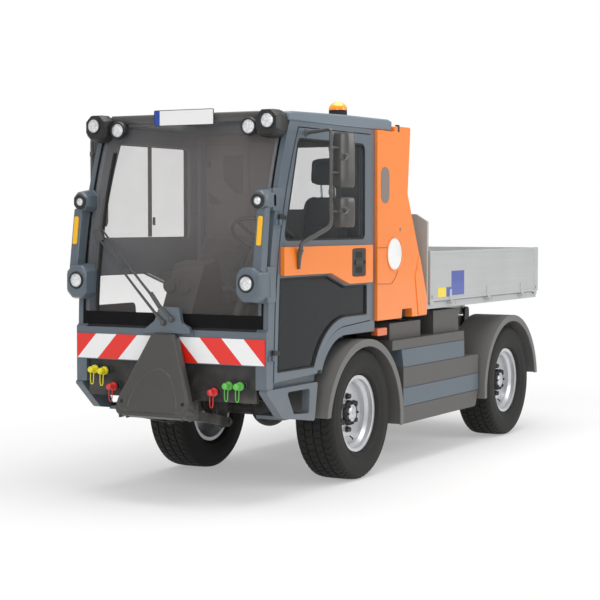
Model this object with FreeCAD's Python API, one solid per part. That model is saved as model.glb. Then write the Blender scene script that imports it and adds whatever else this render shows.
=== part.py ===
import FreeCAD, Part
import math
import os

from FreeCAD import Vector

# Compact municipal implement carrier with a tipping dropside bed.
# Millimetres. While modelling, X is forward of the front axle, Y is to the
# vehicle's left and Z is up from the ground. The export moves the origin to
# the middle of the length.

# Overall layout
WHEELBASE = 2420.0
TYRE_RADIUS = 406.0
TYRE_WIDTH = 265.0
TRACK = 1055.0
FRONT_REACH = 1340.0
REAR_REACH = 3002.0
CAB_WIDTH = 1290.0

# Clearances
SEAT = 0.3
RUNNING_GAP = 6.0
SHAFT_GAP = 0.5

# Wheels
FLANGE_RADIUS = 235.0
BEAD_RADIUS = 222.0
WELL_RADIUS = 192.0
RIM_WIDTH = 194.0
FLANGE_THICK = 7.3
DISC_FACE = 22.0
DISC_THICK = 12.0
HUB_RADIUS = 80.0
HUB_REACH = 62.0
HUB_TAIL = 40.0
STUD_CIRCLE = 102.5
STUD_COUNT = 6
NUT_RADIUS = 17.0
NUT_HEIGHT = 24.0
SPINDLE_RADIUS = 34.0

# Running gear
RAIL_OUTER = 180.0
RAIL_FLANGE = 60.0
RAIL_WALL = 8.0
RAIL_BOTTOM = 560.0
RAIL_TOP = 720.0
RAIL_FRONT = 1020.0
RAIL_REAR = -2750.0
BEAM_RADIUS = 60.0
DIFF_RADIUS = 115.0
KINGPIN_Y = 410.0
KINGPIN_RADIUS = 22.0
KNUCKLE_RADIUS = 36.0
LUG_RADIUS = 29.0
STEER_ARM = 160.0
TIE_ROD_RADIUS = 14.0
SPRING_SPAN = 900.0
SPRING_THICK = 28.0
SPRING_WIDTH = 50.0
HITCH_THICK = 14.0
HITCH_SPACE_Y = 160.0
HITCH_SPACE_Z = 100.0
HITCH_HOLE = 8.5

# Cab shell
CAB_WALL = 42.0
FLANGE_DEPTH = 28.0
GLASS = 8.0
CAB_FRONT = 1150.0
CAB_REAR = -190.0
COUPLER_BACK = CAB_FRONT - 48.0
CAB_FOOT = 690.0
SCREEN_BOTTOM = 985.0
SCREEN_TOP = 2066.0
SCREEN_BASE_X = 1130.0
SCREEN_TOP_X = 923.0
SCREEN_BULGE = 50.0
SCREEN_HALF = 613.0
HEADER_TOP = 2150.0
ROOF_TOP = 2200.0
ROOF_REAR = -430.0
ROOF_FRONT = 905.0
REAR_WINDOW = ((-430.0, 1480.0, 40.0), (430.0, 1480.0, 40.0), (430.0, 2050.0, 40.0), (-430.0, 2050.0, 40.0))
FLOOR_HIGH = 945.0
FLOOR_STEP_X = 450.0
FLOOR_THICK = 25.0
SILL_DEPTH = 50.0

# Doors
DOOR_THICK = 40.0
DOOR_REAR = -125.0
DOOR_TOP = 2115.0
DOOR_FOOT = 686.0
DOOR_FOOT_X = 1073.0
DOOR_SHOULDER_X = 1058.0
DOOR_SHOULDER = 1000.0
DOOR_TOP_X = 785.0
DOOR_BULGE = 58.0
DOOR_ARCH_X = 195.0
DOOR_ARCH_Z = 560.0
DOOR_ARCH_RADIUS = 398.0
DOOR_FRAME = 58.0
DOOR_LAP = 20.0
BAND_PROUD = 25.0
BAND_TOP = 1440.0
BAND_FRONT_BOTTOM = 1280.0
BAND_REAR_BOTTOM = 1210.0
BAND_FRONT = 1000.0
DOOR_PROUD = 4.0
HINGE_RADIUS = 10.0
HINGE_PIN = 4.0
HINGE_OUT = 9.0
HINGE_LOW = (1092.0, 840.0)
HINGE_HIGH = (1016.0, 1595.0)
HINGE_LENGTH = 60.0

# Lamp pods, lower and upper heights on the windscreen's edge
POD_LOW = (1130.0, 1330.0)
POD_HIGH = (1635.0, 1755.0)

# Fenders and lower body
FENDER_RADIUS = 525.0
FENDER_THICK = 8.0
FENDER_LIP = 45.0
FENDER_IN = 395.0
FENDER_OUT = 690.0
FRONT_FENDER_Z = 340.0
REAR_FENDER_X = -2400.0
REAR_FENDER_Z = 368.0
SIDE_IN = 360.0
SIDE_OUT = 650.0
SIDE_BOTTOM = 275.0
SIDE_TOP = 823.0
STEP_OUT = 650.0
TOWER_IN = 330.0
TOWER_OUT = 672.0

# Tipping bed
BED_FRONT = -940.0
BED_WALL = 25.0
BED_FLOOR = 1047.0
BED_RAIL = 44.0
BED_RIM_DROP = 2.0
BED_CROSSBARS = (-1400.0, -1800.0, -2250.0)
BED_HALF = 660.0
BOARD_THICK = 27.0
BOARD_TOP = 1385.0
HEAD_TOP = 1632.0
TIP_X = -2700.0
TIP_Z = 900.0
TIP_PIN = 18.0
TIP_EYE = 30.0
BOARD_LAP = 12.0
BOARD_HINGE_OUT = 18.0
BOARD_HINGE_DROP = 12.0
BOARD_EYE = 9.0
BOARD_PIN = 5.0
SIDE_HINGES = (-1300.0, -1960.0, -2620.0)
TAIL_HINGES = (-450.0, 0.0, 450.0)
RAM_BASE = (-2100.0, 550.0)
RAM_EYE = (-2000.0, 960.0)
RAM_BARREL = 55.0
RAM_STAGE = 46.0
RAM_ROD = 36.0

# Front coupling
TRIANGLE_LEAN = 16.4
TRIANGLE_BOTTOM = 490.0
TRIANGLE_TOP = 950.0
TRIANGLE_FOOT_HALF = 265.0
TRIANGLE_HEAD_HALF = 67.0
TRIANGLE_THICK = 70.0
TRIANGLE_WALL = 8.0
TRIANGLE_BACK = 1166.0
TRIANGLE_BORE_LENGTH = 30.0
LIFT_LOW = (850.0, 420.0)
LIFT_HIGH = (862.0, 560.0)
LIFT_LENGTH = 400.0
LIFT_ANGLE = 12.0
LIFT_PIN = 14.0
LIFT_ARM_Y = 198.0
LIFT_ARM_WIDE = 24.0

HALF_TRACK = TRACK / 2
BOARD_OUT = BED_HALF + BOARD_LAP
SIDE_HINGE_Y = BOARD_OUT + BOARD_HINGE_OUT
BOARD_HINGE_Z = BED_FLOOR - BOARD_HINGE_DROP
TAIL_HINGE_X = BOARD_EYE - REAR_REACH
TAIL_FACE = TAIL_HINGE_X + BOARD_HINGE_OUT
BED_REAR = TAIL_FACE + BOARD_LAP
AXLE_Z = TYRE_RADIUS
CAB_HALF = CAB_WIDTH / 2
DOOR_OUT = CAB_HALF + DOOR_PROUD
REAR_AXLE = -WHEELBASE
SHIFT = (REAR_REACH - FRONT_REACH) / 2
SIDES = (("left", 1), ("right", -1))

nodes = {}


# Shape helpers

def box(x0, x1, y0, y1, z0, z1):
    return Part.makeBox(x1 - x0, y1 - y0, z1 - z0, Vector(x0, y0, z0))


def rod(start, end, radius):
    start = Vector(*start)
    along = Vector(*end) - start
    return Part.makeCylinder(radius, along.Length, start, along)


def via(u, v):
    """A point that an arc passes through on its way to the next corner."""
    return (u, v, None)


def on_plane(plane, level, u, v):
    if plane == "xz":
        return Vector(u, level, v)
    if plane == "yz":
        return Vector(level, u, v)
    return Vector(u, v, level)


def outline(points, plane, level):
    """Closed wire. A corner is (u, v), or (u, v, radius) where it is rounded."""
    count = len(points)
    ends = []
    for i, point in enumerate(points):
        here = on_plane(plane, level, point[0], point[1])
        radius = point[2] if len(point) > 2 else 0
        if not radius:
            ends.append((here, here, None))
            continue
        before = points[i - 1]
        after = points[(i + 1) % count]
        to_before = (on_plane(plane, level, before[0], before[1]) - here).normalize()
        to_after = (on_plane(plane, level, after[0], after[1]) - here).normalize()
        half = to_before.getAngle(to_after) / 2
        reach = radius / math.tan(half)
        middle = (to_before + to_after).normalize() * (radius / math.sin(half) - radius)
        ends.append((here + to_before * reach, here + to_after * reach, here + middle))
    edges = []
    corners = [i for i in range(count) if len(points[i]) < 3 or points[i][2] is not None]
    for k, i in enumerate(corners):
        enter, leave, middle = ends[i]
        if middle is not None:
            edges.append(Part.Arc(enter, middle, leave).toShape())
        following = corners[(k + 1) % len(corners)]
        goal = ends[following][0]
        if following != (i + 1) % count:
            edges.append(Part.Arc(leave, ends[(i + 1) % count][0], goal).toShape())
        elif (goal - leave).Length > 1e-6:
            edges.append(Part.makeLine(leave, goal))
    return Part.Wire(edges)


def plate(points, plane, low, high):
    """A flat outline made solid between two levels of the third axis."""
    normal = {"xz": Vector(0, 1, 0), "yz": Vector(1, 0, 0), "xy": Vector(0, 0, 1)}[plane]
    face = Part.Face(outline(points, plane, low))
    return face.extrude(normal * (high - low))


def revolve_y(profile, x, y, z, side):
    """Turn a (radius, offset) outline about a line along Y through (x, y, z)."""
    points = [Vector(x, y + side * offset, z + radius) for radius, offset in profile]
    wire = Part.makePolygon(points + [points[0]])
    solid = Part.Face(wire).revolve(Vector(x, y, z), Vector(0, 1, 0), 360)
    if solid.Volume < 0:
        solid.reverse()
    return solid


def tube_path(points, radius):
    """A round bar along straight runs with a ball at each bend."""
    pieces = []
    for start, end in zip(points, points[1:]):
        pieces.append(rod(start, end, radius))
    for bend in points[1:-1]:
        pieces.append(Part.makeSphere(radius, Vector(*bend)))
    return join(pieces)


def join(shapes):
    return shapes[0].fuse(shapes[1:]).removeSplitter()


def group(shapes):
    return Part.makeCompound(shapes)


def mirrored(shape):
    return shape.mirror(Vector(0, 0, 0), Vector(0, 1, 0))


def both(shape):
    return group([shape, mirrored(shape)])


def on_side(shape, side):
    return shape if side > 0 else mirrored(shape)


def arc_middle(start, end, bulge):
    """Middle of an arc that stands bulge to the right of the run from start to end."""
    run_u = end[0] - start[0]
    run_v = end[1] - start[1]
    length = math.hypot(run_u, run_v)
    mid_u = (start[0] + end[0]) / 2 + bulge * run_v / length
    mid_v = (start[1] + end[1]) / 2 - bulge * run_u / length
    return (mid_u, mid_v)


# Wheels

def tyre_profile():
    half = TYRE_WIDTH / 2
    bead = RIM_WIDTH / 2 - FLANGE_THICK - SEAT
    inner = BEAD_RADIUS + SEAT
    lip = FLANGE_RADIUS + 1
    one_side = [(inner, bead), (lip, bead), (lip + 11, half - 20), (330.0, half),
                (TYRE_RADIUS - 21, half - 8), (TYRE_RADIUS, half - 33)]
    return one_side + [(r, -y) for r, y in reversed(one_side)]


def rim_profile():
    edge = RIM_WIDTH / 2
    seat = edge - FLANGE_THICK
    return [(FLANGE_RADIUS, edge), (FLANGE_RADIUS, seat), (BEAD_RADIUS, seat), (BEAD_RADIUS, -seat),
            (FLANGE_RADIUS, -seat), (FLANGE_RADIUS, -edge), (BEAD_RADIUS - 9, -edge),
            (WELL_RADIUS, -edge / 2), (WELL_RADIUS, DISC_FACE - DISC_THICK),
            (HUB_RADIUS, DISC_FACE - DISC_THICK), (HUB_RADIUS, DISC_FACE), (WELL_RADIUS, DISC_FACE),
            (WELL_RADIUS, edge / 2), (BEAD_RADIUS - 9, edge * 0.68), (BEAD_RADIUS - 9, edge - 3),
            (BEAD_RADIUS - 2, edge)]


def hub_profile():
    bore = SPINDLE_RADIUS + SHAFT_GAP
    return [(bore, -HUB_TAIL), (HUB_RADIUS - 12, -HUB_TAIL), (HUB_RADIUS, DISC_FACE - DISC_THICK),
            (HUB_RADIUS, DISC_FACE + 8), (HUB_RADIUS - 20, HUB_REACH - 16),
            (HUB_RADIUS - 28, HUB_REACH), (0.0, HUB_REACH), (0.0, DISC_FACE), (bore, DISC_FACE)]


def wheel_nut(x, y, z, side, turn):
    angle = math.radians(turn)
    cx = x + STUD_CIRCLE * math.cos(angle)
    cz = z + STUD_CIRCLE * math.sin(angle)
    corners = []
    for k in range(6):
        corner = math.radians(60 * k)
        corners.append((cx + NUT_RADIUS * math.cos(corner), cz + NUT_RADIUS * math.sin(corner)))
    near = y + side * DISC_FACE
    far = y + side * (DISC_FACE + NUT_HEIGHT)
    return plate(corners, "xz", min(near, far), max(near, far))


def make_wheel(end, x, word, side):
    y = side * HALF_TRACK
    nodes["tyre_%s_%s" % (end, word)] = revolve_y(tyre_profile(), x, y, AXLE_Z, side)
    rim = revolve_y(rim_profile(), x, y, AXLE_Z, side)
    hub = revolve_y(hub_profile(), x, y, AXLE_Z, side)
    nuts = [wheel_nut(x, y, AXLE_Z, side, 360.0 * k / STUD_COUNT + 30) for k in range(STUD_COUNT)]
    nodes["rim_%s_%s" % (end, word)] = join([rim, hub] + nuts)


# Frame, axles and steering

def rail():
    inner = RAIL_OUTER - RAIL_FLANGE
    channel = [(RAIL_OUTER, RAIL_BOTTOM), (RAIL_OUTER, RAIL_TOP), (inner, RAIL_TOP),
               (inner, RAIL_TOP - RAIL_WALL), (RAIL_OUTER - RAIL_WALL, RAIL_TOP - RAIL_WALL),
               (RAIL_OUTER - RAIL_WALL, RAIL_BOTTOM + RAIL_WALL), (inner, RAIL_BOTTOM + RAIL_WALL),
               (inner, RAIL_BOTTOM)]
    return plate(channel, "yz", RAIL_REAR, RAIL_FRONT)


def crossmember(x, low, high):
    return box(x - 30, x + 30, -RAIL_OUTER + RAIL_WALL, RAIL_OUTER - RAIL_WALL, low, high)


def hitch_plate():
    middle = (RAIL_BOTTOM + RAIL_TOP) / 2
    sheet = box(RAIL_REAR - HITCH_THICK, RAIL_REAR, -RAIL_OUTER, RAIL_OUTER,
                RAIL_BOTTOM - 40, RAIL_TOP)
    for dy in (-HITCH_SPACE_Y / 2, HITCH_SPACE_Y / 2):
        for dz in (-HITCH_SPACE_Z / 2, HITCH_SPACE_Z / 2):
            hole = rod((RAIL_REAR - 40, dy, middle + dz), (RAIL_REAR + 10, dy, middle + dz),
                       HITCH_HOLE)
            sheet = sheet.cut(hole)
    return sheet


def lift_bracket():
    """Cheek below the rail's front end that carries both lift pivots."""
    low_x, low_z = LIFT_LOW
    high_x = LIFT_HIGH[0]
    cheek = [(low_x - 60, RAIL_BOTTOM + 60), (low_x - 40, low_z - 35, 30), (low_x + 40, low_z - 35, 30),
             (high_x + 60, RAIL_BOTTOM - 40), (high_x + 60, RAIL_BOTTOM + 60)]
    wall = plate(cheek, "xz", RAIL_OUTER - RAIL_WALL, RAIL_OUTER)
    pin = rod((low_x, RAIL_OUTER - RAIL_WALL, low_z), (low_x, LIFT_ARM_Y + LIFT_ARM_WIDE + 12, low_z),
              LIFT_PIN)
    return join([wall, pin])


def top_link_mount():
    x, z = LIFT_HIGH
    bar = box(x - 30, x + 30, -RAIL_OUTER + RAIL_WALL, RAIL_OUTER - RAIL_WALL,
              RAIL_TOP - 60, RAIL_TOP - 20)
    ear = plate([(x - 30, RAIL_TOP - 60), (x - 26, z - 26, 20), (x + 26, z - 26, 20),
                 (x + 30, RAIL_TOP - 60)], "xz", 22, 34)
    pin = rod((x, -34, z), (x, 34, z), LIFT_PIN)
    return join([bar, ear, mirrored(ear), pin])


def ram_mount():
    x, z = RAM_BASE
    bar = crossmember(x, RAIL_BOTTOM + RAIL_WALL, RAIL_BOTTOM + 40)
    ear = plate([(x - 30, RAIL_BOTTOM + RAIL_WALL), (x - 30, z - 24, 20), (x + 30, z - 24, 20),
                 (x + 30, RAIL_BOTTOM + RAIL_WALL)], "xz", RAM_BARREL + 8, RAM_BARREL + 20)
    pin = rod((x, -RAM_BARREL - 20, z), (x, RAM_BARREL + 20, z), LIFT_PIN)
    window = box(x - 70, x + 70, -RAM_BARREL - 8, RAM_BARREL + 8, RAIL_BOTTOM, RAIL_TOP)
    return join([bar.cut(window), ear, mirrored(ear), pin])


def side_carrier(x):
    middle = (RAIL_BOTTOM + RAIL_TOP) / 2
    return rod((x, RAIL_OUTER - RAIL_WALL, middle), (x, SIDE_IN - SEAT, middle), 24)


def make_frame():
    pieces = [rail(), mirrored(rail()), hitch_plate()]
    for x in (300.0, -1050.0, -1650.0, REAR_AXLE):
        pieces.append(crossmember(x, RAIL_BOTTOM + 40, RAIL_TOP - 20))
    pieces.append(crossmember(RAIL_FRONT - 30, RAIL_BOTTOM + 80, RAIL_TOP - 20))
    for piece in (lift_bracket(), side_carrier(-900.0), side_carrier(-1450.0)):
        pieces += [piece, mirrored(piece)]
    pieces.append(top_link_mount())
    pieces.append(ram_mount())
    nodes["frame"] = join(pieces)


def leaf_spring(x):
    """One arched leaf pack between its hangers, above the axle beam."""
    low = AXLE_Z + BEAM_RADIUS - 4
    half = SPRING_SPAN / 2
    rise = 46.0
    top = low + SPRING_THICK
    arch = [(x - half, low + rise), via(x, low), (x + half, low + rise),
            (x + half, top + rise), via(x, top), (x - half, top + rise)]
    inner = RAIL_OUTER - RAIL_FLANGE / 2 - SPRING_WIDTH / 2
    pack = plate(arch, "xz", inner, inner + SPRING_WIDTH)
    pieces = [pack]
    for end in (-half, half):
        pieces.append(box(x + end - 20, x + end + 20, inner, inner + SPRING_WIDTH,
                          low + rise, RAIL_BOTTOM - SEAT))
    clamp = box(x - 45, x + 45, inner - 6, inner + SPRING_WIDTH + 6, AXLE_Z, top + 12)
    return join(pieces + [clamp])


def make_axle(name, x, steered):
    fork_face = KINGPIN_Y - KNUCKLE_RADIUS - RUNNING_GAP
    reach = fork_face - 10 if steered else HALF_TRACK - 110
    beam = rod((x, -reach, AXLE_Z), (x, reach, AXLE_Z), BEAM_RADIUS - 14)
    bowl = Part.makeSphere(DIFF_RADIUS, Vector(x, 0, AXLE_Z))
    pieces = [beam, bowl, leaf_spring(x), mirrored(leaf_spring(x))]
    for side in (1, -1):
        if steered:
            fork = box(x - 30, x + 30, fork_face - 18, fork_face, AXLE_Z - 60, AXLE_Z + 60)
            lug = box(x - 24, x + 24, fork_face - 18, KINGPIN_Y, AXLE_Z + 44, AXLE_Z + 60)
            lug = lug.fuse(rod((x, KINGPIN_Y, AXLE_Z + 44), (x, KINGPIN_Y, AXLE_Z + 60), LUG_RADIUS))
            low_lug = lug.translated(Vector(0, 0, -104))
            pin = rod((x, KINGPIN_Y, AXLE_Z - 60), (x, KINGPIN_Y, AXLE_Z + 60), KINGPIN_RADIUS)
            end = join([fork, lug, low_lug, pin])
        else:
            flange = rod((x, reach - 20, AXLE_Z), (x, reach, AXLE_Z), HUB_RADIUS)
            spindle = rod((x, reach, AXLE_Z), (x, HALF_TRACK + DISC_FACE - 6, AXLE_Z), SPINDLE_RADIUS)
            end = join([flange, spindle])
        pieces.append(on_side(end, side))
    nodes[name] = join(pieces)


def make_knuckle(word, side):
    bore = KINGPIN_RADIUS + SHAFT_GAP
    barrel = rod((0, KINGPIN_Y, AXLE_Z - 38), (0, KINGPIN_Y, AXLE_Z + 38), KNUCKLE_RADIUS)
    inner = KINGPIN_Y + LUG_RADIUS + RUNNING_GAP
    flange = rod((0, inner, AXLE_Z), (0, inner + 18, AXLE_Z), HUB_RADIUS - 20)
    spindle = rod((0, KINGPIN_Y + 24, AXLE_Z), (0, HALF_TRACK + DISC_FACE - 6, AXLE_Z),
                  SPINDLE_RADIUS)
    arm = plate([(0, KINGPIN_Y - 16), (-STEER_ARM, KINGPIN_Y - 16, 15), (-STEER_ARM - 20, KINGPIN_Y, 12),
                 (-STEER_ARM, KINGPIN_Y + 16, 15), (0, KINGPIN_Y + 16)], "xy", AXLE_Z - 36, AXLE_Z - 22)
    eye_pin = rod((-STEER_ARM, KINGPIN_Y, AXLE_Z - 70), (-STEER_ARM, KINGPIN_Y, AXLE_Z - 30), 9)
    body = join([barrel, flange, spindle, arm, eye_pin])
    body = body.cut(rod((0, KINGPIN_Y, AXLE_Z - 80), (0, KINGPIN_Y, AXLE_Z + 80), bore))
    nodes["knuckle_" + word] = on_side(body, side)


def make_tie_rod():
    z = AXLE_Z - 54
    bar = rod((-STEER_ARM, -KINGPIN_Y + 16, z), (-STEER_ARM, KINGPIN_Y - 16, z), TIE_ROD_RADIUS)
    pieces = [bar]
    for side in (1, -1):
        eye = rod((-STEER_ARM, side * KINGPIN_Y, z - 12), (-STEER_ARM, side * KINGPIN_Y, z + 12), 22)
        pieces.append(eye)
    whole = join(pieces)
    for side in (1, -1):
        whole = whole.cut(rod((-STEER_ARM, side * KINGPIN_Y, z - 30),
                              (-STEER_ARM, side * KINGPIN_Y, z + 30), 9 + SHAFT_GAP))
    nodes["tie_rod"] = whole


def make_engine():
    nodes["engine"] = box(-880, -310, -300, 300, RAIL_TOP + SEAT, 1250)


# Cab shell

def screen_curve(offset):
    """Base, middle and top of the windscreen's side line, moved forward by offset."""
    base = (SCREEN_BASE_X + offset, SCREEN_BOTTOM)
    top = (SCREEN_TOP_X + offset, SCREEN_TOP)
    return base, arc_middle(base, top, SCREEN_BULGE), top


def header_x(offset):
    """Where the line of the screen, run on straight, meets the header's top."""
    return SCREEN_TOP_X + offset - (HEADER_TOP - SCREEN_TOP) * 0.42


def door_outline(grow):
    """Door leaf in side view, grown by a gap or shrunk by a lap."""
    shoulder = (DOOR_SHOULDER_X + grow, DOOR_SHOULDER)
    top = (DOOR_TOP_X + grow, DOOR_TOP + grow)
    bend = arc_middle(shoulder, top, DOOR_BULGE)
    radius = DOOR_ARCH_RADIUS - grow
    angle = math.asin((DOOR_FOOT + 14 - grow - DOOR_ARCH_Z) / radius)
    middle = (angle + math.pi / 2) / 2
    low = (DOOR_ARCH_X + radius * math.cos(angle), DOOR_ARCH_Z + radius * math.sin(angle))
    over = (DOOR_ARCH_X + radius * math.cos(middle), DOOR_ARCH_Z + radius * math.sin(middle))
    crown = (DOOR_ARCH_X, DOOR_ARCH_Z + radius)
    return [(DOOR_FOOT_X + grow, DOOR_FOOT - grow), shoulder, via(*bend), top,
            (DOOR_REAR - grow, DOOR_TOP + grow), (DOOR_REAR - grow, crown[1] + 18), crown,
            via(*over), low]


def side_outline(sill):
    """Whole side frame in side view, down to the sill above the wheel."""
    base, bend, top = screen_curve(0)
    radius = DOOR_ARCH_RADIUS - RUNNING_GAP - sill
    angle = math.asin((CAB_FOOT - 40 - DOOR_ARCH_Z) / radius)
    middle = (angle + math.pi / 2) / 2
    low = (DOOR_ARCH_X + radius * math.cos(angle), CAB_FOOT - 40)
    over = (DOOR_ARCH_X + radius * math.cos(middle), DOOR_ARCH_Z + radius * math.sin(middle))
    crown = (DOOR_ARCH_X, DOOR_ARCH_Z + radius)
    return [(CAB_FRONT, CAB_FOOT - 40), (CAB_FRONT, SCREEN_BOTTOM - 15), base, via(*bend), top,
            (header_x(0), HEADER_TOP), (CAB_REAR, HEADER_TOP), (CAB_REAR, crown[1]), crown,
            via(*over), low]


def glass_band(front, back, low_y, high_y):
    """A strip that follows the windscreen's curve between two offsets."""
    base, bend, top = screen_curve(front)
    back_base, back_bend, back_top = screen_curve(back)
    band = [(base[0], SCREEN_BOTTOM), via(*bend), top, (header_x(front), HEADER_TOP),
            (header_x(back), HEADER_TOP), back_top, via(*back_bend), (back_base[0], SCREEN_BOTTOM)]
    return plate(band, "xz", low_y, high_y)


def hinge_point(height):
    share = (height - HINGE_LOW[1]) / (HINGE_HIGH[1] - HINGE_LOW[1])
    x = HINGE_LOW[0] + share * (HINGE_HIGH[0] - HINGE_LOW[0])
    return (x, DOOR_OUT + HINGE_OUT, height)


def door_hinge(height, side):
    """Pillar half with its pin, and door half, of one hinge on the leaning line."""
    axis = Vector(*hinge_point(HINGE_HIGH[1])) - Vector(*hinge_point(HINGE_LOW[1]))
    axis.normalize()
    middle = Vector(*hinge_point(height))
    half = HINGE_LENGTH / 2
    low = middle - axis * half
    barrel = Part.makeCylinder(HINGE_RADIUS, half - 1, low, axis)
    pin = Part.makeCylinder(HINGE_PIN, HINGE_LENGTH - 2, low, axis)
    tab = box(middle.x, middle.x + 42, CAB_HALF, CAB_HALF + 6, height - 30, height - 2)
    pillar_half = join([barrel, pin, tab])
    eye = Part.makeCylinder(HINGE_RADIUS, half - 1, middle + axis, axis)
    tab = box(middle.x - 75, middle.x, DOOR_OUT + SEAT, DOOR_OUT + 6, height + 3, height + 30)
    door_half = join([eye, tab])
    door_half = door_half.cut(Part.makeCylinder(HINGE_PIN + SHAFT_GAP, HINGE_LENGTH, low, axis))
    return on_side(pillar_half, side), on_side(door_half, side)


def make_side_frames():
    skin_in = CAB_HALF - CAB_WALL
    flange_in = skin_in - FLANGE_DEPTH
    outer = plate(side_outline(SILL_DEPTH), "xz", skin_in, CAB_HALF)
    outer = outer.cut(plate(door_outline(RUNNING_GAP), "xz", skin_in - 1, CAB_HALF + 1))
    outer = outer.cut(box(FLOOR_STEP_X + 60, DOOR_FOOT_X + RUNNING_GAP, skin_in - 1, CAB_HALF + 1,
                          CAB_FOOT - 60, DOOR_FOOT + 30))
    flange = plate(side_outline(SILL_DEPTH), "xz", flange_in, skin_in)
    flange = flange.cut(plate(door_outline(-DOOR_LAP), "xz", flange_in - 1, skin_in + 1))
    frame = join([outer, flange])
    frame = frame.cut(glass_band(60, -GLASS - SEAT, -SCREEN_HALF - SEAT, SCREEN_HALF + SEAT))
    hinges = [door_hinge(height, 1)[0] for height in (HINGE_LOW[1], HINGE_HIGH[1])]
    nodes["side_frames"] = both(join([frame] + hinges))


def make_cab_floor():
    half = CAB_HALF - CAB_WALL - FLANGE_DEPTH - SEAT
    back = CAB_REAR + FLOOR_THICK
    low = RAIL_TOP + SEAT
    front = COUPLER_BACK - SEAT
    step = [(front, low), (front, low + FLOOR_THICK), (FLOOR_STEP_X + FLOOR_THICK, low + FLOOR_THICK),
            (FLOOR_STEP_X + FLOOR_THICK, FLOOR_HIGH + FLOOR_THICK), (CAB_REAR, FLOOR_HIGH + FLOOR_THICK),
            (CAB_REAR, FLOOR_HIGH), (FLOOR_STEP_X, FLOOR_HIGH), (FLOOR_STEP_X, low)]
    nodes["cab_floor"] = plate(step, "xz", -half, half)
    wall = box(CAB_REAR, back, -half, half, FLOOR_HIGH + FLOOR_THICK + SEAT, HEADER_TOP - SEAT)
    window = plate(REAR_WINDOW, "yz", CAB_REAR - 1, back + 1)
    nodes["rear_wall"] = wall.cut(window)


def make_cab_front():
    half = CAB_HALF - CAB_WALL - FLANGE_DEPTH - SEAT
    panel_foot = 780.0
    nodes["front_panel"] = box(CAB_FRONT - 32, CAB_FRONT, -half, half, panel_foot, SCREEN_BOTTOM - 15)
    nodes["hazard_panel"] = box(CAB_FRONT + SEAT, CAB_FRONT + 6, -637, 637, 786, 930)
    coupler = box(COUPLER_BACK, COUPLER_BACK + 28, -570, 570, 570, panel_foot - SEAT)
    nodes["coupler_panel"] = coupler.cut(box(COUPLER_BACK - 1, COUPLER_BACK + 29, -60, 60, 560, 690))


def make_roof():
    slab = plate([(-CAB_HALF - 5, HEADER_TOP + SEAT), (CAB_HALF + 5, HEADER_TOP + SEAT),
                  (CAB_HALF + 5, ROOF_TOP - 12, 10), (CAB_HALF - 60, ROOF_TOP, 60),
                  (-CAB_HALF + 60, ROOF_TOP, 60), (-CAB_HALF - 5, ROOF_TOP - 12, 10)], "yz",
                 ROOF_REAR, ROOF_FRONT)
    nodes["roof"] = slab


def make_cab_glass():
    screen = glass_band(0, -GLASS, -SCREEN_HALF, SCREEN_HALF)
    pane = Part.Face(outline(REAR_WINDOW, "yz", CAB_REAR + 8)).makeOffset2D(-SEAT)
    pane = pane.extrude(Vector(6, 0, 0))
    nodes["cab_glass"] = group([screen, pane])


# Lamps, beacon and wiper

def post_point(share, out):
    """A point on the front edge of the post between the pods, moved out from it."""
    low = (POD_LOW[1] - 20, 1212.0)
    high = (POD_HIGH[0] + 20, 1162.0)
    return (low[1] + share * (high[1] - low[1]) + out, low[0] + share * (high[0] - low[0]))


def make_lamp_posts():
    lower = plate([(1080, POD_LOW[0] + 30), (1200, POD_LOW[0], 20), (1246, POD_LOW[0] + 30, 15),
                   (1250, POD_LOW[1] - 50, 20), (1215, POD_LOW[1], 15), (1080, POD_LOW[1])],
                  "xz", 542, 660)
    upper = plate([(1000, POD_HIGH[0] - 10), (1150, POD_HIGH[0], 15), (1168, POD_HIGH[0] + 20, 10),
                   (1170, POD_HIGH[1] - 30, 15), (1140, POD_HIGH[1], 10), (1000, POD_HIGH[1])],
                  "xz", 555, 660)
    post = plate([(1160, POD_LOW[1] - 20), post_point(0, 0), post_point(1, 0),
                  (1120, POD_HIGH[0] + 20)], "xz", 590, 648)
    unit = join([lower, upper, post])
    unit = unit.cut(glass_band(SEAT, -300, 500, 700))
    nodes["lamp_posts"] = both(unit)
    low_lens = rod((1250.3, 590, 1243), (1262, 590, 1243), 42)
    high_lens = rod((1170.3, 607, 1696), (1182, 607, 1696), 38)
    flasher = plate([post_point(0.3, SEAT), post_point(0.3, 7), post_point(0.8, 7),
                     post_point(0.8, SEAT)], "xz", 604, 640)
    nodes["lamp_lenses"] = both(group([low_lens, high_lens, flasher]))


def make_light_bar():
    bar = box(ROOF_FRONT + SEAT, 958, -560, 560, HEADER_TOP + RUNNING_GAP, ROOF_TOP + 9)
    corner = plate([(925, 2205, 10), (1030, 2205, 20), (1050, 2180, 15), (1045, 2070, 25),
                    (1015, 2040, 15), (925, 2100)], "xz", 500, 655)
    corner = corner.cut(glass_band(SEAT, -300, 400, 700))
    plate_board = box(958 + SEAT, 964, -207, 207, 2135, 2225)
    lamp = rod((1010, 440, 2110), (1062, 440, 2110), 45)
    bracket = box(925, 1012, 430, 502, 2100, 2150)
    work = join([corner, bracket.cut(glass_band(SEAT, -300, 400, 700)), lamp])
    nodes["light_bar"] = join([bar, work, mirrored(work)])
    nodes["number_plate"] = plate_board


def make_beacon():
    x, y = -300.0, 330.0
    foot = rod((x, y, ROOF_TOP + SEAT), (x, y, ROOF_TOP + 35), 52)
    dome = rod((x, y, ROOF_TOP + 35), (x, y, ROOF_TOP + 125), 60)
    cap = Part.makeCone(60, 40, 14, Vector(x, y, ROOF_TOP + 125), Vector(0, 0, 1))
    nodes["beacon"] = join([foot, dome, cap])


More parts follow.
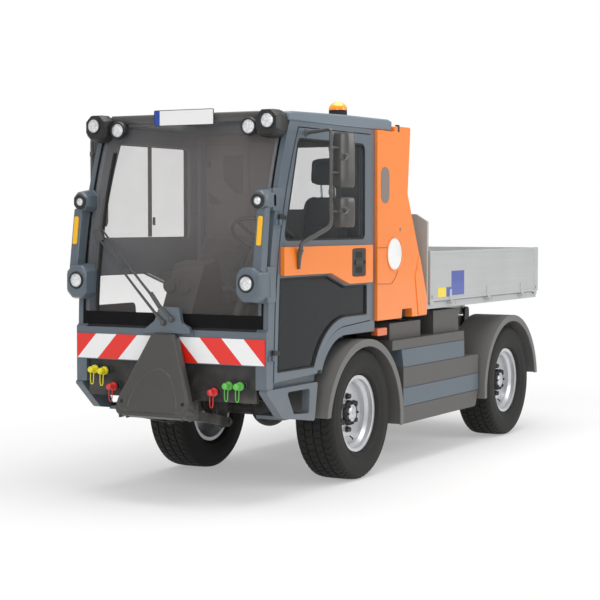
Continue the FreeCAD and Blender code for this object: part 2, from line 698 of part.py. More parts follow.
def make_wiper():
    bracket = plate([(-168, 949), (172, 949), (165, 985, 30), (110, 1010, 30), (95, 1098, 20),
                     (-40, 1098, 20), (-70, 1020, 30)], "yz", 1152, 1190)
    pieces = [bracket]
    pieces.append(box(CAB_FRONT + SEAT, 1160, -168, 172, 935, 965))
    for y, z, end_y, end_z in ((-9, 1050, -464, 1540), (-64, 1014, -471, 1490)):
        pieces.append(rod((1180, y, z), (1212, y, z), 14))
        pieces.append(rod((1200, y, z), (1096, end_y, end_z), 6))
    blade = glass_band(26, 2, -560, -380)
    lean = plate([(-536, 1063), (-518, 1063), (-398, 1969), (-416, 1969)], "yz", 900, 1300)
    pieces.append(blade.common(lean))
    nodes["wiper"] = join(pieces)


# Doors

def window_openings():
    """Corner lists of the upper and lower door windows."""
    upper = [(957, 1480, 30), (792, 2052, 40), (-40, 2052, 40), (-40, 1480, 30)]
    radius = DOOR_ARCH_RADIUS + DOOR_FRAME
    low_z = DOOR_FOOT + DOOR_FRAME
    angle = math.asin((low_z - DOOR_ARCH_Z) / radius)
    middle = (angle + math.pi / 2) / 2
    lower = [(DOOR_SHOULDER_X - 26, low_z), (DOOR_SHOULDER_X - 55, BAND_FRONT_BOTTOM - 18),
             (450, BAND_FRONT_BOTTOM - 18), (220, BAND_REAR_BOTTOM - 18),
             (DOOR_REAR + DOOR_FRAME, BAND_REAR_BOTTOM - 18),
             (DOOR_REAR + DOOR_FRAME, DOOR_ARCH_Z + radius),
             (DOOR_ARCH_X, DOOR_ARCH_Z + radius),
             via(DOOR_ARCH_X + radius * math.cos(middle), DOOR_ARCH_Z + radius * math.sin(middle)),
             (DOOR_ARCH_X + radius * math.cos(angle), low_z)]
    return upper, lower


def make_door(word, side):
    inner = DOOR_OUT - DOOR_THICK
    outer = DOOR_OUT
    leaf = plate(door_outline(0), "xz", inner, outer)
    panes = []
    for opening in window_openings():
        leaf = leaf.cut(plate(opening, "xz", inner - 1, outer + 1))
        pane = Part.Face(outline(opening, "xz", outer - 14)).makeOffset2D(-SEAT)
        panes.append(pane.extrude(Vector(0, 5, 0)))
    nodes["door_" + word] = on_side(leaf, side)
    nodes["door_glass_" + word] = on_side(group(panes), side)
    front_out = outer + BAND_PROUD
    band = plate([(BAND_FRONT, BAND_TOP, 8), (BAND_FRONT, BAND_FRONT_BOTTOM, 8),
                  (437, BAND_FRONT_BOTTOM, 60), (206, BAND_REAR_BOTTOM, 60),
                  (DOOR_REAR + 15, BAND_REAR_BOTTOM, 8), (DOOR_REAR + 15, BAND_TOP, 8)],
                 "xz", outer + SEAT, front_out)
    recess = plate([(-14, 1250, 15), (154, 1250, 15), (154, 1422, 15), (-14, 1422, 15)], "xz",
                   front_out - 18, front_out + 1)
    nodes["door_band_" + word] = on_side(band.cut(recess), side)
    handle = plate([(0, 1262, 10), (140, 1262, 10), (140, 1410, 10), (0, 1410, 10)], "xz",
                   front_out - 18 + SEAT, front_out - 6)
    arm = tube_path([(700, outer - 5, 2088), (690, 800, 2092), (665, 800, 2060), (665, 800, 1590),
                     (860, 722, 1425), (806, front_out - 10, 1341)], 9)
    arm = arm.cut(box(500, 1000, outer - 60, outer + SEAT, 1300, 2200))
    arm = arm.cut(box(500, 1000, outer - 60, front_out + SEAT, 1300, BAND_TOP))
    mirror = plate([(-60, -35, 20), (60, -35, 20), (62, 10, 18), (0, 42, 60), (-62, 10, 18)],
                   "xy", 0, 305)
    low_mirror = plate([(-60, -35, 20), (60, -35, 20), (62, 10, 18), (0, 42, 60), (-62, 10, 18)],
                       "xy", 0, 170)
    heads = []
    for head, z in ((mirror, 1760), (low_mirror, 1546)):
        head = head.copy()
        head.rotate(Vector(0, 0, 0), Vector(0, 0, 1), -62)
        head.translate(Vector(610, 858, z))
        heads.append(head)
        heads.append(rod((665, 800, z + 90), (612, 850, z + 90), 12))
    fittings = [join([arm] + heads), handle]
    fittings += [door_hinge(height, 1)[1] for height in (HINGE_LOW[1], HINGE_HIGH[1])]
    nodes["door_fittings_" + word] = on_side(group(fittings), side)


# Fenders, steps, side boxes and towers

def fender(x, z, front_leg, rear_leg):
    """Half-round crown with straight legs and a turned-in lip on its outer edge."""
    foot = min(front_leg, rear_leg) - 100

    def hoop(radius, low_y, high_y):
        shape = [(x + radius, foot), (x + radius, z), via(x, z + radius), (x - radius, z),
                 (x - radius, foot)]
        return plate(shape, "xz", low_y, high_y)

    whole = hoop(FENDER_RADIUS, FENDER_IN, FENDER_OUT)
    hollow = hoop(FENDER_RADIUS - FENDER_THICK, FENDER_IN - 1, FENDER_OUT - FENDER_THICK)
    mouth = hoop(FENDER_RADIUS - FENDER_LIP, FENDER_IN - 2, FENDER_OUT + 1)
    reach = FENDER_RADIUS + 10
    below_front = box(x, x + reach, FENDER_IN - 5, FENDER_OUT + 5, foot - 10, front_leg)
    below_rear = box(x - reach, x, FENDER_IN - 5, FENDER_OUT + 5, foot - 10, rear_leg)
    return whole.cut(hollow).cut(mouth).cut(below_front).cut(below_rear)


def make_fenders():
    arch = fender(0, FRONT_FENDER_Z, 430, 285)
    gusset = box(-60, 60, 480, 488, FRONT_FENDER_Z + FENDER_RADIUS - 16, FLOOR_HIGH - SEAT)
    gusset = gusset.cut(rod((0, 400, FRONT_FENDER_Z), (0, 700, FRONT_FENDER_Z),
                            FENDER_RADIUS - FENDER_THICK / 2))
    nodes["front_fenders"] = both(join([arch, gusset]))
    pieces = [fender(REAR_FENDER_X, REAR_FENDER_Z, 320, 427)]
    reach = FENDER_RADIUS - FENDER_THICK / 2
    for end in (1, -1):
        z = 640.0
        x = REAR_FENDER_X + end * math.sqrt((reach - 12) ** 2 - (z - REAR_FENDER_Z) ** 2)
        stay = rod((x, RAIL_OUTER + SEAT, z), (x, FENDER_IN + 60, z), 12)
        pieces.append(stay)
    nodes["rear_fenders"] = both(join(pieces))


def make_steps():
    top = CAB_FOOT - 40 - SEAT
    shape = [(1175, top, 12), (980, 478, 25), (600, 426, 20), (562, top, 12)]
    opening = [(930, 622, 15), (850, 490, 15), (668, 476, 15), (660, 620, 15)]
    skin = plate(shape, "xz", 600, STEP_OUT).cut(plate(opening, "xz", 590, STEP_OUT + 10))
    tread = box(640, 880, 420, 605, 455, 475)
    hanger = box(640, 700, 420, 440, 455, RAIL_TOP)
    arm = box(640, 700, RAIL_OUTER + SEAT, 440, 600, 640)
    nodes["steps"] = both(join([skin, tread, hanger, arm]))


def make_side_boxes():
    shape = [(-440, SIDE_TOP), (-1590, SIDE_TOP), (-1600, 645), (-1850, 640), (-1850, 385),
             (-1800, SIDE_BOTTOM, 30), (-605, SIDE_BOTTOM), (-605, 645), (-576, 760), (-440, 760)]
    body = plate(shape, "xz", SIDE_IN, SIDE_OUT)
    for seam in (760, 642, 508, 388):
        body = body.cut(box(-1900, -400, SIDE_OUT - 6, SIDE_OUT + 1, seam - 2, seam + 2))
    front_box = box(-970, -500, SIDE_IN, 600, SIDE_TOP, 930)
    rear_box = box(-1600, -1180, SIDE_IN, 600, SIDE_TOP, 980)
    nodes["side_boxes"] = both(join([body, front_box, rear_box]))


def make_towers():
    front = CAB_REAR - SEAT
    shape = [(front, 965), (front, 2186), (-625, 2186, 20), (-628, 1760), (-805, 1380), (-924, 1090),
             (-928, 965), (-640, 965), (-628, 1022), (-512, 1027), (-500, 965)]
    skin = plate(shape, "xz", TOWER_IN, TOWER_OUT)
    roof_relief = box(ROOF_REAR - RUNNING_GAP, 0, TOWER_IN - 1, TOWER_OUT + 1,
                      HEADER_TOP - SEAT, ROOF_TOP + 20)
    hollow = plate([(front - 30, 1000), (front - 30, 2150), (-600, 2150), (-603, 1766), (-780, 1386),
                    (-898, 1095), (-900, 1060), (-480, 1060), (-470, 1000)], "xz",
                   TOWER_IN - 1, TOWER_OUT - 30)
    slot = plate([(-231, 1918, 25), (-290, 1918, 25), (-290, 1695, 25), (-231, 1695, 25)], "xz",
                 TOWER_OUT - 40, TOWER_OUT + 1)
    tower = skin.cut(roof_relief).cut(hollow).cut(slot)
    nodes["towers"] = both(tower)


# Interior

def make_seats():
    def seat(y):
        cushion = plate([(-40, 1080, 20), (400, 1080, 30), (410, 1180, 40), (-40, 1150, 20)], "xz",
                        y - 240, y + 240)
        back = plate([(-20, 1100, 20), (80, 1100, 20), (-60, 1820, 40), (-150, 1810, 40)], "xz",
                     y - 230, y + 230)
        foot = box(20, 340, y - 180, y + 180, FLOOR_HIGH + FLOOR_THICK + SEAT, 1085)
        return join([cushion, back, foot])
    nodes["seats"] = both(seat(300))


def make_dashboard():
    low = RAIL_TOP + FLOOR_THICK + SEAT
    console = plate([(FLOOR_STEP_X + FLOOR_THICK + SEAT, low + 2), (1000, low + 2), (1000, 1050, 40),
                     (860, 1330, 40), (700, 1360, 30), (640, 1100, 60),
                     (FLOOR_STEP_X + FLOOR_THICK + SEAT, 1000)], "xz", -150, 60)
    nodes["console"] = console
    wheel = Part.makeTorus(190, 14, Vector(0, 0, 0), Vector(0, 0, 1))
    hub = Part.makeCylinder(45, 50, Vector(0, 0, -45), Vector(0, 0, 1))
    spokes = []
    for turn in (90, 210, 330):
        angle = math.radians(turn)
        spokes.append(rod((0, 0, -10), (190 * math.cos(angle), 190 * math.sin(angle), 0), 10))
    column = Part.makeCylinder(32, 620, Vector(0, 0, -640), Vector(0, 0, 1))
    unit = join([wheel, hub, column] + spokes)
    unit.rotate(Vector(0, 0, 0), Vector(0, 1, 0), -26)
    unit.translate(Vector(640, 300, 1440))
    foot = box(880, 990, 250, 350, low, 900)
    limit = box(0, 1100, 0, 600, low, 1700)
    nodes["steering_wheel"] = join([unit, foot]).common(limit)


# Tipping bed

def make_subframe():
    low = RAIL_TOP + SEAT
    beam = box(RAIL_REAR + 20, -1000, RAIL_OUTER - RAIL_FLANGE, RAIL_OUTER, low, TIP_Z - 40)
    ear = plate([(TIP_X - 40, low + 60), (TIP_X - 35, TIP_Z + 30, 30), (TIP_X + 35, TIP_Z + 30, 30),
                 (TIP_X + 60, low + 60)], "xz", RAIL_OUTER + 6, RAIL_OUTER + 22)
    web = box(TIP_X - 40, TIP_X + 60, RAIL_OUTER - 1, RAIL_OUTER + 22, low + 60, low + 90)
    pieces = [beam, ear, web]
    pieces += [mirrored(piece) for piece in pieces]
    cross = box(-1060, -1000, -RAIL_OUTER, RAIL_OUTER, low, TIP_Z - 40)
    pieces.append(cross)
    pin = rod((TIP_X, -RAIL_OUTER - 22, TIP_Z), (TIP_X, RAIL_OUTER + 22, TIP_Z), TIP_PIN)
    nodes["subframe"] = join(pieces + [pin])


def bed_hinge():
    """Ears and pin of a board hinge, its axis along X through the origin."""
    reach = BOARD_LAP + BOARD_HINGE_OUT
    ears = [box(x - 4, x + 4, -reach, BOARD_EYE, -BOARD_EYE, BOARD_EYE) for x in (-30, 30)]
    return join(ears + [rod((-34, 0, 0), (34, 0, 0), BOARD_PIN)])


def board_hinge():
    """Strap and eye of the same hinge, on the outer face of a raised board."""
    face = -BOARD_HINGE_OUT
    foot = BOARD_HINGE_DROP + RUNNING_GAP
    strap = plate([(face - 1, foot + 70), (face + 5, foot + 70), (face + 5, foot + 8),
                   (BOARD_EYE - 3, 2), (-BOARD_EYE + 2, -2), (face - 1, foot + 2)], "yz", -18, 18)
    eye = rod((-18, 0, 0), (18, 0, 0), BOARD_EYE)
    return join([strap, eye]).cut(rod((-20, 0, 0), (20, 0, 0), BOARD_PIN + SHAFT_GAP))


def at_side(shape, x, side):
    return on_side(shape.translated(Vector(x, SIDE_HINGE_Y, BOARD_HINGE_Z)), side)


def at_tail(shape, y):
    turned = shape.copy()
    turned.rotate(Vector(0, 0, 0), Vector(0, 0, 1), 90)
    return turned.translated(Vector(TAIL_HINGE_X, y, BOARD_HINGE_Z))


def make_bed():
    floor_low = BED_FLOOR - BED_RAIL
    rim = BED_FLOOR - BED_RIM_DROP
    side = BOARD_OUT - BOARD_THICK - RUNNING_GAP
    sheet = box(TAIL_FACE + BOARD_THICK + RUNNING_GAP, BED_FRONT - BED_WALL - RUNNING_GAP,
                -side, side, BED_FLOOR - 14, BED_FLOOR)
    rails = [box(BED_REAR, BED_FRONT, BED_HALF - 50, BED_HALF, floor_low, rim)]
    rails.append(mirrored(rails[0]))
    for x in (BED_FRONT - 40, BED_REAR):
        rails.append(box(x, x + 40, -BED_HALF + 50, BED_HALF - 50, floor_low, rim))
    for x in BED_CROSSBARS:
        rails.append(box(x, x + 40, -BED_HALF + 50, BED_HALF - 50, floor_low, BED_FLOOR - 14))
    beam = plate([(TIP_X - TIP_EYE, floor_low), (TIP_X - TIP_EYE, TIP_Z - TIP_EYE, TIP_EYE),
                  (BED_FRONT - 60, TIP_Z - TIP_EYE), (BED_FRONT - 60, floor_low)],
                 "xz", RAIL_OUTER - RAIL_FLANGE + 10, RAIL_OUTER - 10)
    for side in (1, -1):
        bore = rod((TIP_X, -300, TIP_Z), (TIP_X, 300, TIP_Z), TIP_PIN + SHAFT_GAP)
        rails.append(on_side(beam.cut(bore), side))
        rails += [at_side(bed_hinge(), x, side) for x in SIDE_HINGES]
    rails += [at_tail(bed_hinge(), y) for y in TAIL_HINGES]
    eye_x, eye_z = RAM_EYE
    ear = plate([(eye_x - 40, floor_low), (eye_x - 26, eye_z - 26, 18), (eye_x + 26, eye_z - 26, 18),
                 (eye_x + 40, floor_low)], "xz", RAM_ROD + 12, RAM_ROD + 24)
    eye_bar = box(eye_x - 40, eye_x + 40, -RAIL_OUTER + 20, RAIL_OUTER - 20, floor_low - 6, floor_low + 10)
    nodes["bed"] = join([sheet] + rails + [ear, mirrored(ear), eye_bar])
    head = plate([(-BED_HALF, rim + SEAT), (BED_HALF, rim + SEAT), (BED_HALF, HEAD_TOP - 49),
                  (BED_HALF - 82, HEAD_TOP), (-BED_HALF + 82, HEAD_TOP), (-BED_HALF, HEAD_TOP - 49)],
                 "yz", BED_FRONT - BED_WALL, BED_FRONT)
    nodes["headboard"] = head
    inner = BOARD_OUT - BOARD_THICK
    board = box(TAIL_FACE + BOARD_THICK + RUNNING_GAP, BED_FRONT - BED_WALL - RUNNING_GAP,
                inner, BOARD_OUT, BED_FLOOR + RUNNING_GAP, BOARD_TOP)
    for word, side in SIDES:
        straps = [at_side(board_hinge(), x, side) for x in SIDE_HINGES]
        nodes["side_board_" + word] = join([on_side(board, side)] + straps)
    tail = box(TAIL_FACE, TAIL_FACE + BOARD_THICK, -BOARD_OUT, BOARD_OUT,
               BED_FLOOR + RUNNING_GAP, BOARD_TOP)
    nodes["tailboard"] = join([tail] + [at_tail(board_hinge(), y) for y in TAIL_HINGES])


def along_ram(distance):
    run = Vector(RAM_EYE[0] - RAM_BASE[0], 0, RAM_EYE[1] - RAM_BASE[1])
    run.normalize()
    return Vector(RAM_BASE[0], 0, RAM_BASE[1]) + run * distance


def make_ram():
    def stage(start, end, radius, bore):
        base = along_ram(start)
        axis = along_ram(end) - base
        tube = Part.makeCylinder(radius, axis.Length, base, axis)
        if bore:
            hollow = Part.makeCylinder(bore, axis.Length, base + axis * 0.06, axis)
            tube = tube.cut(hollow)
        return tube
    hole = rod((RAM_BASE[0], -90, RAM_BASE[1]), (RAM_BASE[0], 90, RAM_BASE[1]), LIFT_PIN + SHAFT_GAP)
    nodes["ram_barrel"] = stage(-34, 330, RAM_BARREL, RAM_STAGE + SHAFT_GAP).cut(hole)
    nodes["ram_stage"] = stage(50, 360, RAM_STAGE, RAM_ROD + SHAFT_GAP)
    eye_x, eye_z = RAM_EYE
    head = rod((eye_x, -RAM_ROD - 8, eye_z), (eye_x, RAM_ROD + 8, eye_z), 24)
    nodes["ram_rod"] = join([stage(80, 410, RAM_ROD, 0), head])


# Front coupling

def lift_end(start):
    angle = math.radians(LIFT_ANGLE)
    return (start[0] + LIFT_LENGTH * math.cos(angle), start[1] + LIFT_LENGTH * math.sin(angle))


def link(start, end, low_y, high_y, height):
    """Flat bar with round ends between two pins along Y."""
    run_x = end[0] - start[0]
    run_z = end[1] - start[1]
    length = math.hypot(run_x, run_z)
    bar = box(0, length, low_y, high_y, -height / 2, height / 2)
    for x in (0, length):
        bar = bar.fuse(rod((x, low_y, 0), (x, high_y, 0), height / 2))
    for x in (0, length):
        bar = bar.cut(rod((x, low_y - 1, 0), (x, high_y + 1, 0), LIFT_PIN + SHAFT_GAP))
    bar.rotate(Vector(0, 0, 0), Vector(0, 1, 0), -math.degrees(math.atan2(run_z, run_x)))
    bar.translate(Vector(start[0], 0, start[1]))
    return bar


def make_lift():
    low_end = lift_end(LIFT_LOW)
    arm = link(LIFT_LOW, low_end, LIFT_ARM_Y, LIFT_ARM_Y + LIFT_ARM_WIDE, 54)
    middle = (LIFT_LOW[0] + (low_end[0] - LIFT_LOW[0]) * 0.62,
              LIFT_LOW[1] + (low_end[1] - LIFT_LOW[1]) * 0.62)
    tie = rod((middle[0], -LIFT_ARM_Y - 5, middle[1]), (middle[0], LIFT_ARM_Y + 5, middle[1]), 24)
    nodes["lift_arms"] = join([arm, mirrored(arm), tie])
    high_end = lift_end(LIFT_HIGH)
    nodes["top_link"] = link(LIFT_HIGH, high_end, -15, 15, 50)


def make_triangle():
    low = lift_end(LIFT_LOW)
    high = lift_end(LIFT_HIGH)
    lean = math.radians(TRIANGLE_LEAN)
    height = (TRIANGLE_TOP - TRIANGLE_BOTTOM) / math.cos(lean)
    shape = [(-TRIANGLE_FOOT_HALF, 0, 45), (TRIANGLE_FOOT_HALF, 0, 45), (TRIANGLE_HEAD_HALF, height, 30),
             (-TRIANGLE_HEAD_HALF, height, 30)]
    block = plate(shape, "yz", -TRIANGLE_THICK, 0)
    wall = TRIANGLE_WALL
    inside = Part.Face(outline(shape, "yz", -TRIANGLE_THICK - 1)).makeOffset2D(-wall)
    block = block.cut(inside.extrude(Vector(TRIANGLE_THICK + 1 - wall, 0, 0)))
    arch = plate([(-150, 24), (150, 24), (110, 215, 90), (-110, 215, 90)], "yz", 0, 5)
    bosses = []
    for y in (-215, 215):
        bosses.append(rod((-TRIANGLE_BORE_LENGTH, y, 70), (0, y, 70), 26))
    block = join([block, arch] + bosses)
    for y in (-215, 215):
        block = block.cut(rod((-TRIANGLE_THICK - 1, y, 70), (6, y, 70), 11))
    block.rotate(Vector(0, 0, 0), Vector(0, 1, 0), -TRIANGLE_LEAN)
    block.translate(Vector(FRONT_REACH, 0, TRIANGLE_BOTTOM))
    block = block.cut(box(TRIANGLE_BACK - 300, TRIANGLE_BACK, -400, 400, 300, 1100))
    pieces = [block]
    for y in (LIFT_ARM_Y - 18, LIFT_ARM_Y + LIFT_ARM_WIDE + 6):
        lug = plate([(low[0] - 34, low[1] - 30, 20), (low[0] + 60, low[1] - 34), (low[0] + 70, low[1] + 40),
                     (low[0] - 24, low[1] + 34, 20)], "xz", y, y + 12)
        pieces += [lug, mirrored(lug)]
    pin = rod((low[0], LIFT_ARM_Y - 18, low[1]), (low[0], LIFT_ARM_Y + LIFT_ARM_WIDE + 18, low[1]), LIFT_PIN)
    pieces += [pin, mirrored(pin)]
    top_lug = plate([(high[0] - 26, high[1] - 26, 18), (high[0] + 10, high[1] - 26),
                     (high[0] + 24, high[1] + 26), (high[0] - 26, high[1] + 26, 18)], "xz", 22, 34)
    pieces += [top_lug, mirrored(top_lug)]
    pieces.append(rod((high[0], -34, high[1]), (high[0], 34, high[1]), LIFT_PIN))
    nodes["coupling_triangle"] = join(pieces)


def make_tail():
    bar = box(-2940, -2920, -600, 600, 600, 660)
    stay = box(-2920, RAIL_REAR - HITCH_THICK - SEAT, 120, 160, 610, 650)
    lamps = []
    for y in (-560, 440):
        lamps.append(box(-2975, -2940, y, y + 120, 590, 670))
    nodes["tail_lamps"] = join([bar, stay, mirrored(stay)] + lamps)


def build():
    make_frame()
    make_axle("front_axle", 0.0, True)
    make_axle("rear_axle", REAR_AXLE, False)
    for word, side in SIDES:
        make_wheel("front", 0.0, word, side)
        make_wheel("rear", REAR_AXLE, word, side)
        make_knuckle(word, side)
        make_door(word, side)
    make_tie_rod()
    make_engine()
    make_side_frames()
    make_cab_floor()
    make_cab_front()
    make_roof()
    make_cab_glass()
    make_lamp_posts()
    make_light_bar()
    make_beacon()
    make_wiper()
    make_fenders()
    make_steps()
    make_side_boxes()
    make_towers()
    make_seats()
    make_dashboard()
    make_subframe()
    make_bed()
    make_ram()
    make_lift()
    make_triangle()
    make_tail()


build()
os.makedirs("parts", exist_ok=True)
for name, shape in nodes.items():
    placed = shape.copy()
    placed.translate(Vector(SHIFT, 0, 0))
    placed.exportStep("parts/" + name + ".step")
    print(name, len(placed.Solids), round(placed.Volume / 1e6, 3), placed.isValid())
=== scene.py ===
# %% [markdown]
# # A compact municipal carrier truck
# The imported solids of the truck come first, as a frame that nothing here may move.
# Everything after that is finish: a material for each solid, and finer pieces where the
# eye wants more than a solid gives. Loading the frame first means each piece can read
# its place from the solid that carries it.

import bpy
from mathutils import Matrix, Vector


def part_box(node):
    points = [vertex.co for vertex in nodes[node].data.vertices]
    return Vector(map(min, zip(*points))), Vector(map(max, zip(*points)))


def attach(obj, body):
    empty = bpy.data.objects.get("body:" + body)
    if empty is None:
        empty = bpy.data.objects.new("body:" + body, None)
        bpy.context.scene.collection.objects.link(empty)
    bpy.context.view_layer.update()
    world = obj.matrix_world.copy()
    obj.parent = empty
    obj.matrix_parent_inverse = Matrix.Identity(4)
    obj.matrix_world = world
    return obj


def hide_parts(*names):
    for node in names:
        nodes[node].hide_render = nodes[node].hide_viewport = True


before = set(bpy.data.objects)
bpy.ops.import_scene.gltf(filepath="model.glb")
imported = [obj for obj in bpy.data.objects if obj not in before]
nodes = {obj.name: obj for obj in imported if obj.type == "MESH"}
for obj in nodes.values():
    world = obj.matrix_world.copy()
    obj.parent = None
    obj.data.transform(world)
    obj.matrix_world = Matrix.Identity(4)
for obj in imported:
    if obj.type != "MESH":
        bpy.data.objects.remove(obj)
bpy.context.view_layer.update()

import math

import bpy
import numpy as np

print("solids in the frame:", len(nodes))

# %% [markdown]
# The truck's maker would measure from the front axle, so this script does too: X forwards
# from the axle, Y to the vehicle's left, Z up from the ground, in metres. The frame's own
# origin lies in the middle of the truck's length, and one number takes one to the other.
# It is read from the front wheel, so it follows the solids if they change.

# %% Where the front axle is
def middle(node):
    """Middle of a solid's box, from its lowest and highest corners."""
    low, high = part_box(node)
    return (low + high) / 2


AXLE_X = middle("tyre_front_left").x
AXLE_Z = middle("tyre_front_left").z
TYRE_RADIUS = AXLE_Z
REAR_AXLE = middle("tyre_rear_left").x - AXLE_X
SIDES = (("left", 1), ("right", -1))


def span(node):
    """Lowest and highest corner of a solid as two arrays, measured from the front axle."""
    low, high = (np.array(corner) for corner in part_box(node))
    low[0] -= AXLE_X
    high[0] -= AXLE_X
    return low, high


print("front axle at x", round(AXLE_X, 4), "rear axle", round(REAR_AXLE, 4), "behind it")

# %% [markdown]
# Every new piece is a surface. One kind is a grid of points worked out from two
# parameters, the other is an outline carried straight or round an axis. Modelling by hand
# would give the same meshes, but a formula can be read, checked and changed later.
# A shape here is a pair: an array of points, and a list of faces that index it.

# %% Grids and moves
def grid(points, wrap_u=False, wrap_v=False):
    """Faces between neighbours of a (rows, columns, 3) array of points."""
    rows, columns = points.shape[:2]
    u = np.arange(rows if wrap_u else rows - 1)
    v = np.arange(columns if wrap_v else columns - 1)
    u, v = (a.ravel() for a in np.meshgrid(u, v, indexing="ij"))
    near, far = u * columns, (u + 1) % rows * columns
    beside = (v + 1) % columns
    faces = np.stack([near + v, near + beside, far + beside, far + v], axis=1)
    return points.reshape(-1, 3), faces.tolist()


def joined(*shapes):
    """Several shapes as one, each one's faces counted on from the points before it."""
    points, faces, start = [], [], 0
    for p, f in shapes:
        points.append(p)
        faces += [[i + start for i in face] for face in f]
        start += len(p)
    return np.concatenate(points), faces


def moved(shape, x=0.0, y=0.0, z=0.0):
    return shape[0] + np.array([x, y, z]), shape[1]


def mirrored(shape):
    """The shape on the truck's other side, its faces turned so that they still face out."""
    return shape[0] * np.array([1, -1, 1]), [face[::-1] for face in shape[1]]


def on_side(shape, side):
    return shape if side > 0 else mirrored(shape)


def both(shape):
    return joined(shape, mirrored(shape))


def turned(shape, axis, degrees, about=(0.0, 0.0, 0.0)):
    """The shape turned about an axis through a point, by Rodrigues' formula."""
    k = np.array(axis, float)
    k /= np.linalg.norm(k)
    angle = math.radians(degrees)
    p = shape[0] - np.array(about)
    spun = (p * math.cos(angle) + np.cross(k, p) * math.sin(angle)
            + np.outer(p @ k, k) * (1 - math.cos(angle)))
    return spun + np.array(about), shape[1]


square = grid(np.zeros((2, 2, 3)))
print("faces between two rows of two points:", len(square[1]))

# %% [markdown]
# Most pressed and moulded parts start as a flat outline with rounded corners, carried
# straight through the part's thickness. An arc is made from the line between its two ends,
# with every point pushed out to the radius.

# %% Outlines and prisms
def fillet(corners, steps=4):
    """An outline whose corners (u, v, radius) are rounded by arcs of that radius."""
    corners = [c if len(c) > 2 else (c[0], c[1], 0) for c in corners]
    points = []
    for i, (u, v, radius) in enumerate(corners):
        here = np.array([u, v], float)
        if radius == 0:
            points.append(here)
            continue
        back = np.array(corners[i - 1][:2]) - here
        on = np.array(corners[(i + 1) % len(corners)][:2]) - here
        back, on = back / np.linalg.norm(back), on / np.linalg.norm(on)
        half = math.acos(np.clip(back @ on, -1, 1)) / 2
        centre = here + (back + on) / np.linalg.norm(back + on) * radius / math.sin(half)
        start = here + back * radius / math.tan(half) - centre
        end = here + on * radius / math.tan(half) - centre
        share = np.linspace(0, 1, steps + 1)[:, None]
        arc = start * (1 - share) + end * share
        points += list(centre + arc / np.linalg.norm(arc, axis=1)[:, None] * radius)
    return np.array(points)


def rounded(u0, u1, v0, v1, radius, steps=4):
    """A rectangle's outline with the same rounding at all four corners."""
    return fillet([(u, v, radius) for u, v in ((u0, v0), (u1, v0), (u1, v1), (u0, v1))], steps)


def on_plane(plane, outline, level):
    """Points of a flat outline put on the xz, yz or xy plane at a level of its normal."""
    order = {"xz": (0, 2, 1), "yz": (1, 2, 0), "xy": (0, 1, 2)}[plane]
    points = np.empty((len(outline), 3))
    points[:, order[0]] = outline[:, 0]
    points[:, order[1]] = outline[:, 1]
    points[:, order[2]] = level
    return points


def prism(outline, plane, low, high):
    """A flat outline carried straight from one level to another, closed at both ends."""
    outline = np.asarray(outline, float)
    u, v = outline.T
    area = np.sum(u * np.roll(v, -1) - v * np.roll(u, -1))
    if (area > 0) == (plane == "xz"):
        outline = outline[::-1]
    count = len(outline)
    walls, faces = grid(np.stack([on_plane(plane, outline, level) for level in (low, high)]), wrap_v=True)
    return walls, faces + [list(range(count))[::-1], list(range(count, 2 * count))]


def block(x0, x1, y0, y1, z0, z1):
    """A plain box, as a prism carried upwards."""
    return prism([(x0, y0), (x1, y0), (x1, y1), (x0, y1)], "xy", z0, z1)


print("corners of a block:", len(block(0, 1, 0, 1, 0, 1)[0]))

# %% [markdown]
# Round things come from a lathe: a profile of radius and offset is carried round an axis.
# Whether its faces look out follows from the sign of the volume they enclose.

# %% Lathes
def outward(points, faces):
    """Turns all faces round if the volume they enclose, a sum over triangles, is negative."""
    fans = np.array([(face[0], a, b) for face in faces for a, b in zip(face[1:-1], face[2:])])
    a, b, c = points[fans.T]
    if np.sum(a * np.cross(b, c)) < 0:
        faces = [face[::-1] for face in faces]
    return points, faces


def lathe(profile, steps=48, axis="y"):
    """Points at radius r and offset s: s along the axis + r round it."""
    r, s = np.asarray(profile, float).T[:, None]
    angle = np.linspace(0, 2 * math.pi, steps, endpoint=False)[:, None]
    a, b, s = r * np.cos(angle), r * np.sin(angle), s + 0 * angle
    order = {"y": (a, s, b), "x": (s, b, a), "z": (b, a, s)}[axis]
    return outward(*grid(np.stack(order, -1), wrap_u=True))


print("points round a lathe:", len(lathe([(0.0, 1.0), (1.0, 0.0), (0.0, 0.0)])[0]))

# %% [markdown]
# A sweep carries a section along a path. Each ring of the path is turned as little as
# possible from the ring before, which keeps a bent bar from twisting.

# %% Paths and sweeps
def smooth_path(corners, steps=8):
    """A curve through the corners by the Catmull-Rom formula, steps points for each run."""
    c = np.asarray(corners, float)
    c = np.vstack([2 * c[0] - c[1], c, 2 * c[-1] - c[-2]])
    t = np.linspace(0, 1, steps, endpoint=False)[:, None]
    runs = []
    for i in range(1, len(c) - 2):
        p0, p1, p2, p3 = c[i - 1], c[i], c[i + 1], c[i + 2]
        runs.append(0.5 * (2 * p1 + (p2 - p0) * t + (2 * p0 - 5 * p1 + 4 * p2 - p3) * t ** 2
                           + (3 * p1 - p0 - 3 * p2 + p3) * t ** 3))
    return np.vstack(runs + [c[-2][None]])


